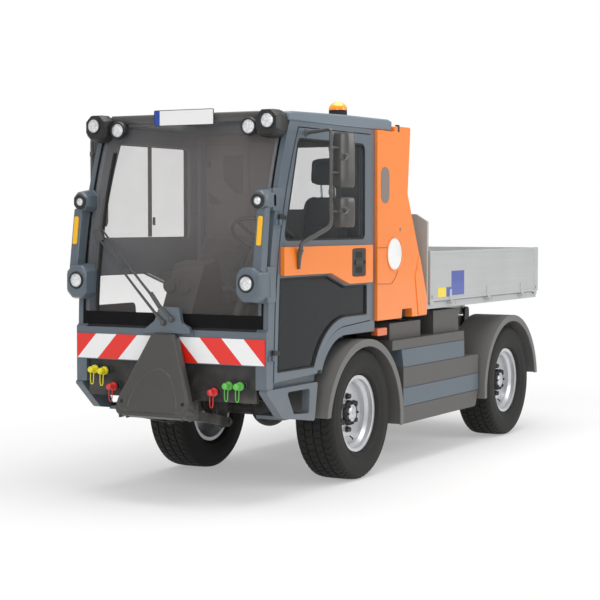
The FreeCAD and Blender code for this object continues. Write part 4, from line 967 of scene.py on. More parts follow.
low_pod = pod([(1.128, 0.505, 0.655, 1.134, 1.334), (1.205, 0.503, 0.652, 1.134, 1.334),
               (1.238, 0.506, 0.645, 1.142, 1.328), (1.2498, 0.516, 0.634, 1.158, 1.312)], 0.034)
low_root = prism(fillet([(1.060, 1.134, 0.01), (1.150, 1.134), (1.150, 1.334), (1.060, 1.334, 0.01)]), "xz",
                 0.604, 0.655)
high_pod = pod([(1.050, 0.560, 0.652, 1.640, 1.762), (1.120, 0.556, 0.652, 1.640, 1.760),
                (1.158, 0.556, 0.648, 1.645, 1.755), (1.1698, 0.564, 0.641, 1.655, 1.745)], 0.026)
high_root = prism(fillet([(0.985, 1.642, 0.01), (1.080, 1.642), (1.080, 1.762), (0.985, 1.775, 0.01)]), "xz",
                  0.604, 0.652)
post = prism([(1.150, 1.300), (1.214, 1.310), (1.198, 1.420), (1.163, 1.655), (1.110, 1.665)], "xz",
             0.592, 0.648)
# Each lamp: the lens's middle, its radius and the width of its ring.
LENSES = {"low": (1.2502, 0.573, 1.243, 0.040, 0.011), "high": (1.1702, 0.601, 1.697, 0.024, 0.020),
          "work": (1.006, 0.446, 2.116, 0.040, 0.012), "corner": (1.046, 0.590, 2.144, 0.040, 0.009)}
lenses, rings = [], []
for x, y, z, r, width in LENSES.values():
    lenses.append(moved(lens_dome(r, 0.009), x, y, z))
    rings.append(moved(lamp_ring(r, 0.008, width), x, y, z))
bell = moved(lathe([(0.0, -0.074), (0.024, -0.072), (0.040, -0.055), (0.050, -0.030), (0.054, -0.008),
                    (0.052, 0.0), (0.0, 0.0)], 36, "x"), *LENSES["work"][:3])
housing = pod([(0.935, 0.520, 0.655, 2.060, 2.200), (0.960, 0.508, 0.655, 2.048, 2.207),
               (1.025, 0.508, 0.652, 2.056, 2.207), (1.0455, 0.520, 0.642, 2.072, 2.200)], 0.034)
bracket_arm = block(0.930, 0.975, 0.420, 0.520, 2.135, 2.160)
bar = sweep([(0.932, -0.53, 2.176), (0.932, 0.53, 2.176)], oval(0.022, 0.030, 24))
plate_foot = block(0.950, 0.981, -0.180, 0.180, 2.150, 2.210)
(plate_left, plate_low), (plate_right, plate_high) = PLATE_BOX
plate = prism(rounded(plate_left, plate_right, plate_low, plate_high, 0.008), "yz", 0.9815, 0.985)
piece("lamp_pods", both(joined(low_pod, low_root, high_pod, high_root, post)), blue_grey, "chassis",
      "blue_grey", bevel=0.004, replaces=["lamp_posts"])
piece("light_bar_tube", joined(bar, plate_foot), mirror_shell, "chassis", "black_plastic",
      replaces=["light_bar"])
piece("lamp_housings", both(joined(bell, housing, bracket_arm)), black_plastic, "chassis", "black_plastic",
      bevel=0.003)
piece("blank_number_plate", plate, plate_white, "chassis", "plate_white", replaces=["number_plate"])
piece("lamp_glass", both(joined(*lenses)), lamp_lens, "chassis", "lamp_glass", replaces=["lamp_lenses"])
piece("lamp_rings", both(joined(*rings)), black_plastic, "chassis", "black_plastic")
print("lenses on each side:", len(lenses))

# %% [markdown]
# The amber flashers lie on the slanting posts, so each one is drawn upright and then leaned
# back by the posts' own angle.

# %% Flashers
FLASH_LOW, FLASH_HIGH = 1.449, 1.613
POST_FOOT, POST_HEAD = (1.212, 1.310), (1.162, 1.655)  # x and z at both ends of the post's face
post_slope = (POST_FOOT[0] - POST_HEAD[0]) / (POST_HEAD[1] - POST_FOOT[1])
flash_middle = (FLASH_LOW + FLASH_HIGH) / 2
flasher = prism(rounded(0.607, 0.636, FLASH_LOW, FLASH_HIGH, 0.010), "yz", -0.004, 0.009)
flasher = turned(flasher, (0, 1, 0), -math.degrees(math.atan(post_slope)), (0, 0, flash_middle))
flasher = moved(flasher, POST_FOOT[0] - (flash_middle - POST_FOOT[1]) * post_slope)
piece("flashers", both(flasher), lamp_amber, "chassis", "amber", bevel=0.002)
print("pieces so far:", len(made))

# %% [markdown]
# The warning beacon turns amber light round under a dome. The dome is one lathe profile with
# shallow ribs, and it stands on a black foot.

# %% Beacon
beacon_middle = middle("beacon")
BEACON_PLACE = (beacon_middle.x - AXLE_X, beacon_middle.y, span("beacon")[0][2])
BEACON_RISE = span("beacon")[1][2] - BEACON_PLACE[2]
DOME_FOOT = 0.086
RIB_DEPTH, RIBS = 0.018, 32


def beacon_dome():
    """Radius against height: a straight drum, then a rounded crown, with ribs all round."""
    rise = BEACON_RISE
    points, faces = lathe([(0.0, rise), (0.020, rise - 0.001), (0.038, rise - 0.008), (0.051, rise - 0.022),
                           (0.0575, rise - 0.036), (0.0595, DOME_FOOT + 0.004), (0.0595, DOME_FOOT),
                           (0.0, DOME_FOOT)], 96, "z")
    rib = 1 - RIB_DEPTH * (np.cos(np.arctan2(points[:, 0], points[:, 1]) * RIBS) > 0)
    drum = (points[:, 2] > DOME_FOOT + 0.001) & (points[:, 2] < rise - 0.015)
    points[:, :2] *= np.where(drum, rib, 1.0)[:, None]
    return points, faces


foot = lathe([(0.0, DOME_FOOT), (0.0565, DOME_FOOT), (0.058, 0.080), (0.0575, 0.010), (0.060, 0.004),
              (0.060, 0.0), (0.0, 0.0)], 64, "z")
piece("beacon_dome", moved(beacon_dome(), *BEACON_PLACE), beacon_amber, "chassis", "amber",
      replaces=["beacon"])
piece("beacon_foot", moved(foot, *BEACON_PLACE), rubber, "chassis", "black_plastic")
print("beacon stands", round(BEACON_RISE, 3), "m high")

# %% [markdown]
# The wiper has two arms side by side, so that the long blade stays upright as it sweeps.
# The blade follows the bulge of the glass, so its path is the same arc as the glass has.

# %% Wiper
def screen_x(z, off=0.0):
    """The windscreen's front face: an arc through its foot, its bulged middle and its top."""
    foot_x, top_x, bulge = 1.130, 0.923, 0.050
    foot_z, top_z = 0.985, 2.066
    t = (z - foot_z) / (top_z - foot_z)
    return foot_x + (top_x - foot_x) * t + 4 * bulge * t * (1 - t) + off


def screen_run(y0, z0, y1, z1, off, steps=24):
    """A line up the windscreen, a little in front of it."""
    t = np.linspace(0, 1, steps)
    z = z0 + (z1 - z0) * t
    return np.stack([screen_x(z, off), y0 + (y1 - y0) * t, z], 1)


blade_path = screen_run(-0.500, 1.063, -0.492, 1.985, 0.022)
blade = joined(sweep(blade_path, oval(0.0055, 0.007, 12)),
               sweep(blade_path + [-0.012, 0, 0], oval(0.003, 0.009, 10)))
carrier = sweep(screen_run(-0.502, 1.30, -0.498, 1.72, 0.032, 12), oval(0.009, 0.006, 12))
joint = turned(block(-0.012, 0.010, -0.030, 0.026, -0.036, 0.034), (1, 0, 0), 24)
joint = moved(joint, screen_x(1.5, 0.034), -0.505, 1.502)
PIVOT_X = 1.200
arms, pivots = [], []
for y0, z0, y1, z1 in ((0.052, 1.030, -0.487, 1.535), (-0.004, 1.010, -0.500, 1.480)):
    near = (1.190, y0 * 0.8 + y1 * 0.2, z0 * 0.8 + z1 * 0.2)
    mid = (1.168, (y0 + y1) / 2, (z0 + z1) / 2)
    path = smooth_path([(PIVOT_X, y0, z0), near, mid, (screen_x(z1, 0.034), y1, z1)], 8)
    arms.append(sweep(path, oval(0.0045, 0.0085, 12), np.linspace(1.2, 0.75, len(path))))
    pivots.append(moved(lathe([(0.0, 0.016), (0.010, 0.016), (0.014, 0.012), (0.017, 0.0), (0.017, -0.020),
                               (0.0, -0.020)], 20, "x"), PIVOT_X, y0, z0))
bracket_line = fillet([(-0.168, 0.949, 0.006), (0.172, 0.949, 0.006), (0.165, 0.985, 0.030),
                       (0.110, 1.010, 0.030), (0.095, 1.098, 0.020), (-0.040, 1.098, 0.020),
                       (-0.070, 1.020, 0.030)])
bracket = joined(prism(bracket_line, "yz", 1.157, 1.1895), block(1.1505, 1.161, -0.168, 0.172, 0.936, 0.962))
piece("wiper_bracket", bracket, blue_grey, "chassis", "blue_grey", bevel=0.003, replaces=["wiper"])
holder = tube([(1.182, -0.098, 1.175), (1.186, -0.035, 1.098)], 0.013)
piece("wiper_arms", joined(*arms, *pivots, carrier, joint, holder), mirror_shell, "chassis", "black_plastic")
piece("wiper_blade", blade, rubber, "chassis", "black_plastic")
print("blade length:", round(float(np.linalg.norm(blade_path[-1] - blade_path[0])), 3), "m")

# %% [markdown]
# The mirrors stand on a bent tube that is fixed to the door above and below. Each head is
# one closed shell: a D-shaped section carried upwards, which shrinks towards both ends by
# the formula of a superellipse, so the ends are full but rounded.

# %% Mirrors
MIRROR_TURN = -62.0
MIRROR_PLACE = (0.632, 0.8555)
ARM_TOP = (0.738, 0.828)
HEADS = ((1.775, 2.090), (1.550, 1.720))
DOOR_FACE = span("door_left")[1][1]
BAND_FACE = span("door_band_left")[1][1]


def on_mirror(shape, degrees=0.0, z=0.0):
    """A shape drawn about a mirror's own middle, turned and set in its place."""
    return moved(turned(shape, (0, 0, 1), MIRROR_TURN + degrees), *MIRROR_PLACE, z)


def mirror_head(low, high):
    """Section scale (1 - |2t - 1|^7)^(1/3.5) along the height, t from 0 at the foot to 1."""
    t = (1 - np.cos(np.linspace(0, math.pi, 25))) / 2
    scale = np.maximum(1 - np.abs(2 * t - 1) ** 7, 0.0) ** (1 / 3.5) * 0.30 + 0.70
    scale[[0, -1]] = 0.55
    path = np.stack([0 * t, 0 * t, low + (high - low) * t], 1)
    section = fillet([(-0.062, -0.036, 0.018), (0.062, -0.036, 0.018), (0.063, 0.006, 0.022),
                      (0.020, 0.040, 0.030), (-0.020, 0.040, 0.030), (-0.063, 0.006, 0.022)], 5)
    return on_mirror(sweep(path, section, scale))


shells, panes, dimples = [], [], []
dimple = lathe([(0.0, 0.0005), (0.006, 0.0005), (0.008, 0.003), (0.011, 0.003), (0.0125, 0.0),
                (0.0, -0.002)], 24, "x")
dimple = moved((dimple[0] * [1, 2.4, 1.8], dimple[1]), 0.0395)
for low, high in HEADS:
    shells.append(mirror_head(low, high))
    panes.append(on_mirror(prism(rounded(-0.052, 0.052, low + 0.012, high - 0.012, 0.02), "xz",
                                 -0.0385, -0.0355)))
    dimples.append(on_mirror(dimple, 90, low + (high - low) * 0.55))
arm_line = smooth_path([(0.705, DOOR_FACE, 2.088), (0.710, 0.715, 2.094), (0.722, 0.805, 2.102),
                        (0.736, 0.826, 2.085), (*ARM_TOP, 2.02), (*ARM_TOP, 1.83), (*ARM_TOP, 1.64)], 8)
strut = smooth_path([(*ARM_TOP, 1.66), (0.742, 0.825, 1.565), (0.802, 0.775, 1.510), (0.856, 0.712, 1.462),
                     (0.856, 0.698, 1.420)], 8)
foot_line = smooth_path([(0.856, 0.698, 1.425), (0.852, BAND_FACE + 0.014, 1.385),
                         (0.848, BAND_FACE + 0.008, 1.315)], 6)
collar = lathe([(0.0, 0.0), (0.013, 0.0), (0.014, 0.003), (0.014, 0.027), (0.013, 0.03), (0.0, 0.03)],
               16, "z")
collars = [moved(collar, *ARM_TOP, z) for z in (1.655, 1.735, 1.98)]
clamps = [tube([(*ARM_TOP, z), (MIRROR_PLACE[0] + 0.01, MIRROR_PLACE[1] - 0.01, z)], 0.009)
          for z in (1.64, 1.86, 2.00)]
top_mount = moved(lathe([(0.0, 0.0), (0.022, 0.0), (0.022, 0.004), (0.014, 0.010), (0.012, 0.022),
                         (0.0, 0.022)], 20), 0.705, DOOR_FACE + 0.0002, 2.088)
foot_bar = sweep(foot_line, oval(0.011, 0.016, 14), np.linspace(1.15, 0.55, len(foot_line)))
arm = joined(tube(arm_line, 0.0105), tube(strut, 0.013), top_mount, *collars, *clamps, foot_bar, *dimples)
pair("mirror_heads_", joined(*shells), mirror_shell, "door_", "black_plastic", replaces=["door_fittings_"])
pair("mirror_arm_", arm, mirror_shell, "door_", "black_plastic")
pair("mirror_glass_", joined(*panes), steel, "door_", "bright_steel")
print("pieces so far:", len(made))

# %% [markdown]
# A door hangs on two hinges whose pins share one leaning line, the line of the front post.
# The handle is a dark plate let into the orange band, with a bar across two finger pockets
# and a round lock.

# %% Hinges and handles
HINGES = ((1.092, 0.840), (1.016, 1.595))  # x and z of the lower and the upper pin
GRIP = (0.086, 0.0, 1.336)
hinge_lean = math.degrees(math.atan2(HINGES[0][0] - HINGES[1][0], HINGES[1][1] - HINGES[0][1]))
knuckle = lathe([(0.0, -0.029), (0.009, -0.029), (0.010, -0.028), (0.010, -0.001), (0.0, -0.001)], 16, "z")
leaf = prism(fillet([(-0.075, 0.003, 0.006), (-0.004, 0.003), (-0.004, 0.028), (-0.075, 0.028, 0.006)]), "xz",
             -0.0086, -0.0030)
hinge = turned(joined(moved(knuckle, z=0.030), leaf), (0, 1, 0), -hinge_lean)
grip = prism(rounded(-0.086, 0.086, -0.083, 0.083, 0.014), "xz", BAND_FACE - 0.0177, BAND_FACE + 0.0010)
bar = prism(rounded(-0.050, 0.052, -0.017, 0.017, 0.008), "xz", BAND_FACE + 0.0005, BAND_FACE + 0.0090)
# Painted shade: the finger pockets are thin black plates on the grip, for the shaded recesses.
pocket_shades = [prism(rounded(-0.046, 0.044, z, z + 0.036, 0.007), "xz", BAND_FACE + 0.0008, BAND_FACE + 0.0016)
           for z in (-0.064, 0.028)]
lock = moved(lathe([(0.0, 0.006), (0.010, 0.006), (0.012, 0.003), (0.012, 0.0), (0.0, 0.0)], 20),
             0.012 - GRIP[0], BAND_FACE + 0.0008)
pair("door_hinges_", joined(*[moved(hinge, x, DOOR_FACE + 0.009, z) for x, z in HINGES]), black_plastic,
     "door_", "black_plastic", bevel=0.001)
pair("door_handle_", moved(joined(grip, bar), *GRIP), cab_trim, "door_", "black_plastic", bevel=0.002)
pair("handle_pockets_", moved(joined(*pocket_shades, lock), *GRIP), rubber, "door_", "black_plastic")
print("hinge pins lean back by", round(hinge_lean, 2), "degrees")

# %% [markdown]
# Window rubber is one flat section carried round each opening. The outline of the opening is
# known from the door, so the same corners and radii give the seal, a few millimetres proud.

# %% Window seals
SEAL_HALF, SEAL_PROUD, SEAL_DEEP = 0.0055, 0.0035, 0.004


def seal(outline, level):
    """A closed strip round an outline in the XZ plane, wider than it is proud."""
    path = np.insert(outline, 1, level, axis=1)
    ahead = np.roll(path, -1, 0) - np.roll(path, 1, 0)
    ahead /= np.linalg.norm(ahead, axis=1)[:, None]
    side = np.cross(ahead, [0, 1, 0])
    half = [(1.0, -SEAL_DEEP), (1.0, SEAL_PROUD * 0.6), (0.5, SEAL_PROUD)]
    section = [(-a * SEAL_HALF, b) for a, b in half] + [(a * SEAL_HALF, b) for a, b in half[::-1]]
    rings = np.stack([path + a * side + b * np.array([0, 1, 0]) for a, b in section], 1)
    return outward(*grid(rings, wrap_u=True, wrap_v=True))


upper_line = fillet([(0.957, 1.480, 0.03), (0.792, 2.052, 0.04), (-0.040, 2.052, 0.04),
                     (-0.040, 1.480, 0.03)], 6)
ARCH_X, ARCH_Z, ARCH_RADIUS = 0.195, 0.560, 0.456
PANE_FOOT = 0.744
turn = np.linspace(math.pi / 2, math.asin((PANE_FOOT - ARCH_Z) / ARCH_RADIUS), 12)
arch = np.stack([ARCH_X + ARCH_RADIUS * np.cos(turn), ARCH_Z + ARCH_RADIUS * np.sin(turn)], 1)
lower_line = np.vstack([[(1.032, PANE_FOOT), (1.003, 1.262), (0.450, 1.262), (0.220, 1.192),
                         (-0.067, 1.192), (-0.067, 1.016)], arch])
seals = joined(seal(upper_line, DOOR_FACE), seal(lower_line, DOOR_FACE))
pair("window_seals_", seals, rubber, "door_", "black_plastic")
divider = block(0.375, 0.405, DOOR_FACE - 0.016, DOOR_FACE - 0.004, 1.488, 2.046)
catch = prism(rounded(0.345, 0.368, 1.56, 1.61, 0.004), "xz", DOOR_FACE - 0.022, DOOR_FACE - 0.014)
piece("window_divider", mirrored(joined(divider, catch)), rubber, "door_right", "black_plastic", bevel=0.002)
print("points in a door's seals:", len(seals[0]))

# %% [markdown]
# Hydraulic quick couplings stand on the front panel, each under a coloured dust cap that
# hangs on its own strap when it is off. The colour tells the driver which line it is.

# %% Hydraulic couplings
COUPLER_FACE = span("coupler_panel")[1][0]
STRAP_DROP, STRAP_HALF = 0.075, 0.011
strap_side = [(0.030, 1.0, -0.015), (0.032, 1.0, -0.045), (0.032, 0.8, -STRAP_DROP)]
strap_line = ([(x, -y * STRAP_HALF, z) for x, y, z in strap_side] + [(0.032, 0.0, -STRAP_DROP - 0.010)]
              + [(x, y * STRAP_HALF, z) for x, y, z in strap_side[::-1]])
strap = sweep(smooth_path(strap_line, 5), oval(0.0028, 0.0028, 8))
cap = lathe([(0.0, 0.060), (0.010, 0.059), (0.016, 0.054), (0.019, 0.046), (0.019, 0.020), (0.023, 0.016),
             (0.025, 0.006), (0.025, 0.0), (0.0, 0.0)], 24, "x")
COUPLINGS = {"yellow": (cap_yellow, ((-0.503, 0.722), (-0.435, 0.716))),
             "red": (cap_red, ((0.315, 0.628), (-0.372, 0.628))),
             "green": (cap_green, ((0.412, 0.668), (0.484, 0.668)))}
stub = lathe([(0.0, 0.036), (0.017, 0.036), (0.017, 0.022), (0.022, 0.020), (0.022, 0.006), (0.027, 0.004),
              (0.027, 0.0), (0.0, 0.0)], 24, "x")
stubs = []
for word, (finish, places) in COUPLINGS.items():
    parts = []
    for y, z in places:
        stubs.append(moved(stub, COUPLER_FACE + 0.0002, y, z))
        parts.append(moved(joined(cap, strap), COUPLER_FACE + 0.034, y, z))
    piece("caps_" + word, joined(*parts), finish, "chassis")
piece("coupling_stubs", joined(*stubs), dark_steel, "chassis", "bright_steel")
print("couplings:", len(stubs))

# %% [markdown]
# Inside, the driver holds a wheel with a thick rim: a circle swept with a slightly oval
# section, with three flat spokes that bend down to the hub. The whole wheel is made flat and
# then leaned on its column. Two pedals stand on the floor in front.

# %% Steering wheel and pedals
WHEEL_PLACE = (0.600, 0.300, 1.500)
WHEEL_LEAN = -32.0
RIM_RADIUS = 0.190


def steering_wheel():
    """Rim in its own XY plane, three flat spokes and a hub pad, then the column below."""
    turn = np.linspace(0, 2 * math.pi, 72, endpoint=False)
    circle_path = np.stack([RIM_RADIUS * np.cos(turn), RIM_RADIUS * np.sin(turn), 0 * turn], 1)
    rim = sweep(circle_path, oval(0.0145, 0.0125, 14, 2.2), closed=True)
    spokes = []
    for degrees in (90, 210, 330):
        way = np.array([math.cos(math.radians(degrees)), math.sin(math.radians(degrees))])
        bends = ((0.035, -0.028), (0.110, -0.020), (RIM_RADIUS, 0.0))
        path = smooth_path([(*(way * r), z) for r, z in bends], 6)
        spokes.append(sweep(path, oval(0.016, 0.006, 14)))
    pad = lathe([(0.0, -0.008), (0.035, -0.010), (0.048, -0.018), (0.052, -0.032), (0.045, -0.048),
                 (0.0, -0.050)], 36, "z")
    column = lathe([(0.0, -0.04), (0.030, -0.04), (0.042, -0.09), (0.045, -0.25), (0.032, -0.30),
                    (0.032, -0.62), (0.0, -0.62)], 28, "z")
    return joined(rim, pad, column, *spokes)


wheel = moved(turned(steering_wheel(), (0, 1, 0), WHEEL_LEAN), *WHEEL_PLACE)
column_foot = block(0.880, 0.990, 0.250, 0.350, 0.746, 1.000)
FLOOR_TOP = span("cab_floor")[0][2] + 0.025
pedals = []
for y in (0.150, 0.420):
    pad = turned(block(-0.006, 0.006, -0.035, 0.035, -0.055, 0.055), (0, 1, 0), 24)
    stem = tube([(0.93, y, FLOOR_TOP), (0.905, y, FLOOR_TOP + 0.10)], 0.007)
    pedals += [moved(pad, 0.90, y, FLOOR_TOP + 0.13), stem]
piece("steering_wheel_grip", joined(wheel, column_foot), black_plastic, "chassis", "cab_inside",
      replaces=["steering_wheel"])
piece("pedals", joined(*pedals), rubber, "chassis", "cab_inside", bevel=0.002)
print("pieces so far:", len(made))

# %% [markdown]
# Each seat is cloth over foam: a cushion, a back with side bolsters and a headrest on two
# steel posts. A flat-faced form is too stiff to look sewn, so each part starts as a
# smaller loft, is remeshed evenly and then blown up a little as cloth. No point may move
# further than a cap, and the sewn channels are pressed in afterwards along their lines.

# %% Seat forms
SEAT_MIDDLE = 0.370
ACROSS = np.linspace(-1, 1, 25)


def pad_form(start, end, facing, half, depth, bolster, steps=22):
    """Rings along a line: a flat back, and a front with two raised sides by bell curves."""
    t = np.linspace(0, 1, steps)[:, None]
    path = np.array(start) * (1 - t) + np.array(end) * t
    size = 0.72 + 0.28 * (1 - np.abs(2 * t - 1) ** 6) ** 0.5
    front = (depth + bolster * np.exp(-((np.abs(ACROSS) - 0.80) / 0.2) ** 2)
             - 0.35 * depth * np.abs(ACROSS) ** 6)
    u = np.concatenate([ACROSS, ACROSS[::-1] * 0.96]) * half
    w = np.concatenate([front, np.full(len(ACROSS), -depth)])
    rings = (path[:, None] + size[:, :, None] * (u[None, :, None] * np.array([0.0, 1.0, 0.0])
                                                 + w[None, :, None] * np.array(facing, float)))
    points, faces = grid(rings, wrap_v=True)
    count = len(u)
    faces += [list(range(count)), list(range((steps - 1) * count, steps * count))[::-1]]
    return outward(points, faces)


def mesh_of(shape, name):
    """A mesh to work on, with no object of its own."""
    mesh = bpy.data.meshes.new(name)
    mesh.from_pydata(shape[0].tolist(), [], shape[1])
    mesh.update()
    return mesh


def points_of(mesh, normals=False):
    """A mesh's points, or its normals, as one array."""
    flat = np.empty(len(mesh.vertices) * 3)
    mesh.vertices.foreach_get("normal" if normals else "co", flat)
    return flat.reshape(-1, 3)


def baked(thing):
    """The object's mesh with its modifiers worked out, as a mesh of its own."""
    return bpy.data.meshes.new_from_object(thing.evaluated_get(bpy.context.evaluated_depsgraph_get()))


print("points in one ring of a pad:", 2 * len(ACROSS))

# %% [markdown] Blowing up is Blender's cloth with pressure inside and no gravity, for
# twenty frames. It rounds the faces and leaves small swellings between the seams, which a
# formula alone wouldn't.

# %% Cloth over foam
VOXEL = 0.008
PRESSURE = 4.0
CLOTH_FRAMES = 20
CHANNEL_WIDTH = 0.007


def stuffed(shape, cap):
    """The shape remeshed, then blown up as cloth, with each point's way cut to the cap."""
    scene = bpy.context.scene
    thing = bpy.data.objects.new("pad_work", mesh_of(shape, "pad_work"))
    scene.collection.objects.link(thing)
    even = thing.modifiers.new("even", "REMESH")
    even.mode = "VOXEL"
    even.voxel_size = VOXEL
    thing.data = baked(thing)
    thing.modifiers.clear()
    rest = points_of(thing.data)
    faces = [list(face.vertices) for face in thing.data.polygons]
    points = rest
    cloth = thing.modifiers.new("cloth", "CLOTH")
    cloth.settings.use_pressure = True
    cloth.settings.uniform_pressure_force = PRESSURE
    cloth.settings.effector_weights.gravity = 0.0
    for frame_number in range(1, CLOTH_FRAMES + 1):
        scene.frame_set(frame_number)
    way = points_of(baked(thing)) - rest
    length = np.linalg.norm(way, axis=1)[:, None]
    points = rest + way * np.minimum(1.0, cap / np.maximum(length, 1e-9))
    scene.frame_set(1)
    print("cloth moved", len(rest), "points by up to", round(float(length.max()), 4), "m, capped at", cap)
    bpy.data.objects.remove(thing)
    return points, faces


def sewn(shape, lines, depth=0.006):
    """Presses channels in along the normals, by a bell curve of the distance from each line.

    A line is an axis and the coordinate on it; on the Y axis it counts to both sides."""
    points, faces = shape
    mesh = mesh_of(shape, "pad_normals")
    normal = points_of(mesh, normals=True)
    bpy.data.meshes.remove(mesh)
    press = np.zeros(len(points))
    for axis, level in lines:
        off = np.abs(points[:, 1] - SEAT_MIDDLE) if axis == 1 else points[:, axis]
        press = np.maximum(press, np.exp(-((off - level) / CHANNEL_WIDTH) ** 2))
    return points - normal * press[:, None] * depth, faces


print("voxels for a pad of", VOXEL, "m")

# %% [markdown]
# The two seats share one form. The driver's has the full back and the headrest, the other
# one a low back, as far as the photograph shows through the tinted glass.

# %% Seats
LOW_BACK_SHARE = 0.60
BACK_FOOT = 1.128
BACK_FACING = np.array([0.640, 0.0, 0.130]) / math.hypot(0.640, 0.130)
cushion = pad_form((-0.022, SEAT_MIDDLE, 1.112), (0.392, SEAT_MIDDLE, 1.128), (0.0, 0.0, 1.0), 0.170, 0.034,
                   0.020)
back = pad_form((0.032, SEAT_MIDDLE, BACK_FOOT), (-0.094, SEAT_MIDDLE, 1.742), BACK_FACING, 0.168, 0.034,
                0.020)
rest = pad_form((-0.079, SEAT_MIDDLE, 1.812), (-0.088, SEAT_MIDDLE, 1.972), (1.0, 0.0, 0.05), 0.108, 0.030,
                0.0)
cushion = sewn(stuffed(cushion, 0.012), [(1, 0.108), (0, 0.13), (0, 0.27)])
back = sewn(stuffed(back, 0.012), [(1, 0.108), (2, 1.36), (2, 1.55)])
rest = sewn(stuffed(rest, 0.010), [(1, 0.085)], depth=0.003)
posts = joined(*[tube([(-0.104, y, 1.715), (-0.090, y, 1.83)], 0.0065)
                 for y in (SEAT_MIDDLE - 0.05, SEAT_MIDDLE + 0.05)])
runners = [block(0.000, 0.380, SEAT_MIDDLE + y, SEAT_MIDDLE + y + 0.030, 1.062, 1.085)
           for y in (-0.150, 0.120)]
plinth = prism(fillet([(0.030, 0.975, 0.02), (0.330, 0.975, 0.02), (0.300, 1.060, 0.03),
                       (0.050, 1.060, 0.03)]), "xz", SEAT_MIDDLE - 0.140, SEAT_MIDDLE + 0.140)
low_back = (back[0].copy(), back[1])
low_back[0][:, 2] = BACK_FOOT + (low_back[0][:, 2] - BACK_FOOT) * LOW_BACK_SHARE
seat_parts = {"seat_cushions": both(cushion), "seat_backs": joined(back, mirrored(low_back)),
              "headrests": rest}
for name, shape in seat_parts.items():
    pad = piece(name, shape, seat_cloth, "chassis", "seat_cloth", crease=180.0,
                replaces=["seats"] if name == "seat_cushions" else ())
    fine = pad.modifiers.new("fine", "SUBSURF")
    fine.levels = fine.render_levels = 1
piece("headrest_posts", posts, steel, "chassis", "bright_steel")
piece("seat_plinths", both(joined(plinth, *runners)), cab_trim, "chassis", "cab_inside", bevel=0.004)
print("pieces so far:", len(made))

# %% [markdown]
# Each orange tower is one tall cover beside the cab: a leaning rear edge, a long slot, a
# round sign in the middle and a raised flap at its foot. The cover is an outline carried
# sideways over a dark core. Thin strips stand for the open joints between its sheets.

# %% Tower covers
tower_low, tower_high = span("towers")
roof_low, roof_high = span("roof")
TOWER_FRONT, TOWER_OUT = tower_high[0], tower_high[1]
TOWER_IN = 0.345
ROOF_END = roof_low[0] - 0.012
FACE = TOWER_OUT - 0.0055
tower_line = fillet([(TOWER_FRONT, 0.940), (TOWER_FRONT, 2.149), (ROOF_END, 2.149), (ROOF_END, 2.184, 0.006),
                     (-0.668, 2.186, 0.015), (-0.628, 1.760, 0.05), (-0.805, 1.378), (-0.924, 1.090),
                     (-0.928, 1.000), (-0.928, 0.966), (-0.704, 0.966), (-0.696, 1.022, 0.008),
                     (-0.551, 1.022, 0.008), (-0.543, 0.955)])
tower_line[:, 1] = np.maximum(tower_line[:, 1], tower_low[2])
cover = prism(tower_line, "xz", TOWER_OUT - 0.060, TOWER_OUT - 0.006)
core = prism(tower_line * [0.99, 1.0] + [-0.012, 0.0], "xz", TOWER_IN, TOWER_OUT - 0.062)
flap = prism(fillet([(-0.804, 1.372, 0.01), (-0.741, 1.226, 0.02), (-0.790, 0.972, 0.01),
                     (-0.922, 0.972, 0.01), (-0.921, 1.090, 0.02)]),
             "xz", TOWER_OUT - 0.008, TOWER_OUT - 0.0005)
SIGN_PLACE = (-0.4330, FACE, 1.378)
sign = lathe([(0.0, 0.003), (0.096, 0.003), (0.099, 0.002), (0.100, 0.0), (0.0, 0.0)], 48)
sign_ring = lathe([(0.101, 0.0), (0.102, 0.0045), (0.110, 0.005), (0.114, 0.0), (0.101, 0.0)], 48)
piece("tower_covers", both(joined(cover, flap, moved(sign_ring, *SIGN_PLACE))), orange, "chassis", "orange",
      bevel=0.010, replaces=["towers"])
piece("tower_cores", both(core), dark_plastic, "chassis", "dark_plastic", bevel=0.004)
piece("tower_signs", both(moved(sign, *SIGN_PLACE)), sign_white, "chassis", "plate_white")
print("tower height:", round(float(tower_high[2] - tower_low[2]), 3), "m")

# %% [markdown]
# The roof is a shallow shell, a little higher behind than in front, and its edge is what
# shows from the ground. Small things finish the towers: the slot, the joints between the
# sheets, brackets on top and a marker lamp under each foot.

# %% Roof and tower details
SEAM_HALF, SEAM_THICK = 0.002, 0.0016


def ribbon(points):
    """A flat strip on the tower's face, along a line given as x and z."""
    path = np.insert(np.asarray(points, float), 1, FACE, axis=1)
    return sweep(path, [(-SEAM_THICK, -SEAM_HALF), (SEAM_THICK, -SEAM_HALF), (SEAM_THICK, SEAM_HALF),
                        (-SEAM_THICK, SEAM_HALF)])


roof_line = fillet([(roof_low[0], roof_low[2]), (roof_high[0], roof_low[2]), (roof_high[0], 2.196, 0.01),
                    (0.850, 2.205), (0.200, 2.220), (-0.380, 2.224), (roof_low[0], 2.214, 0.01)])
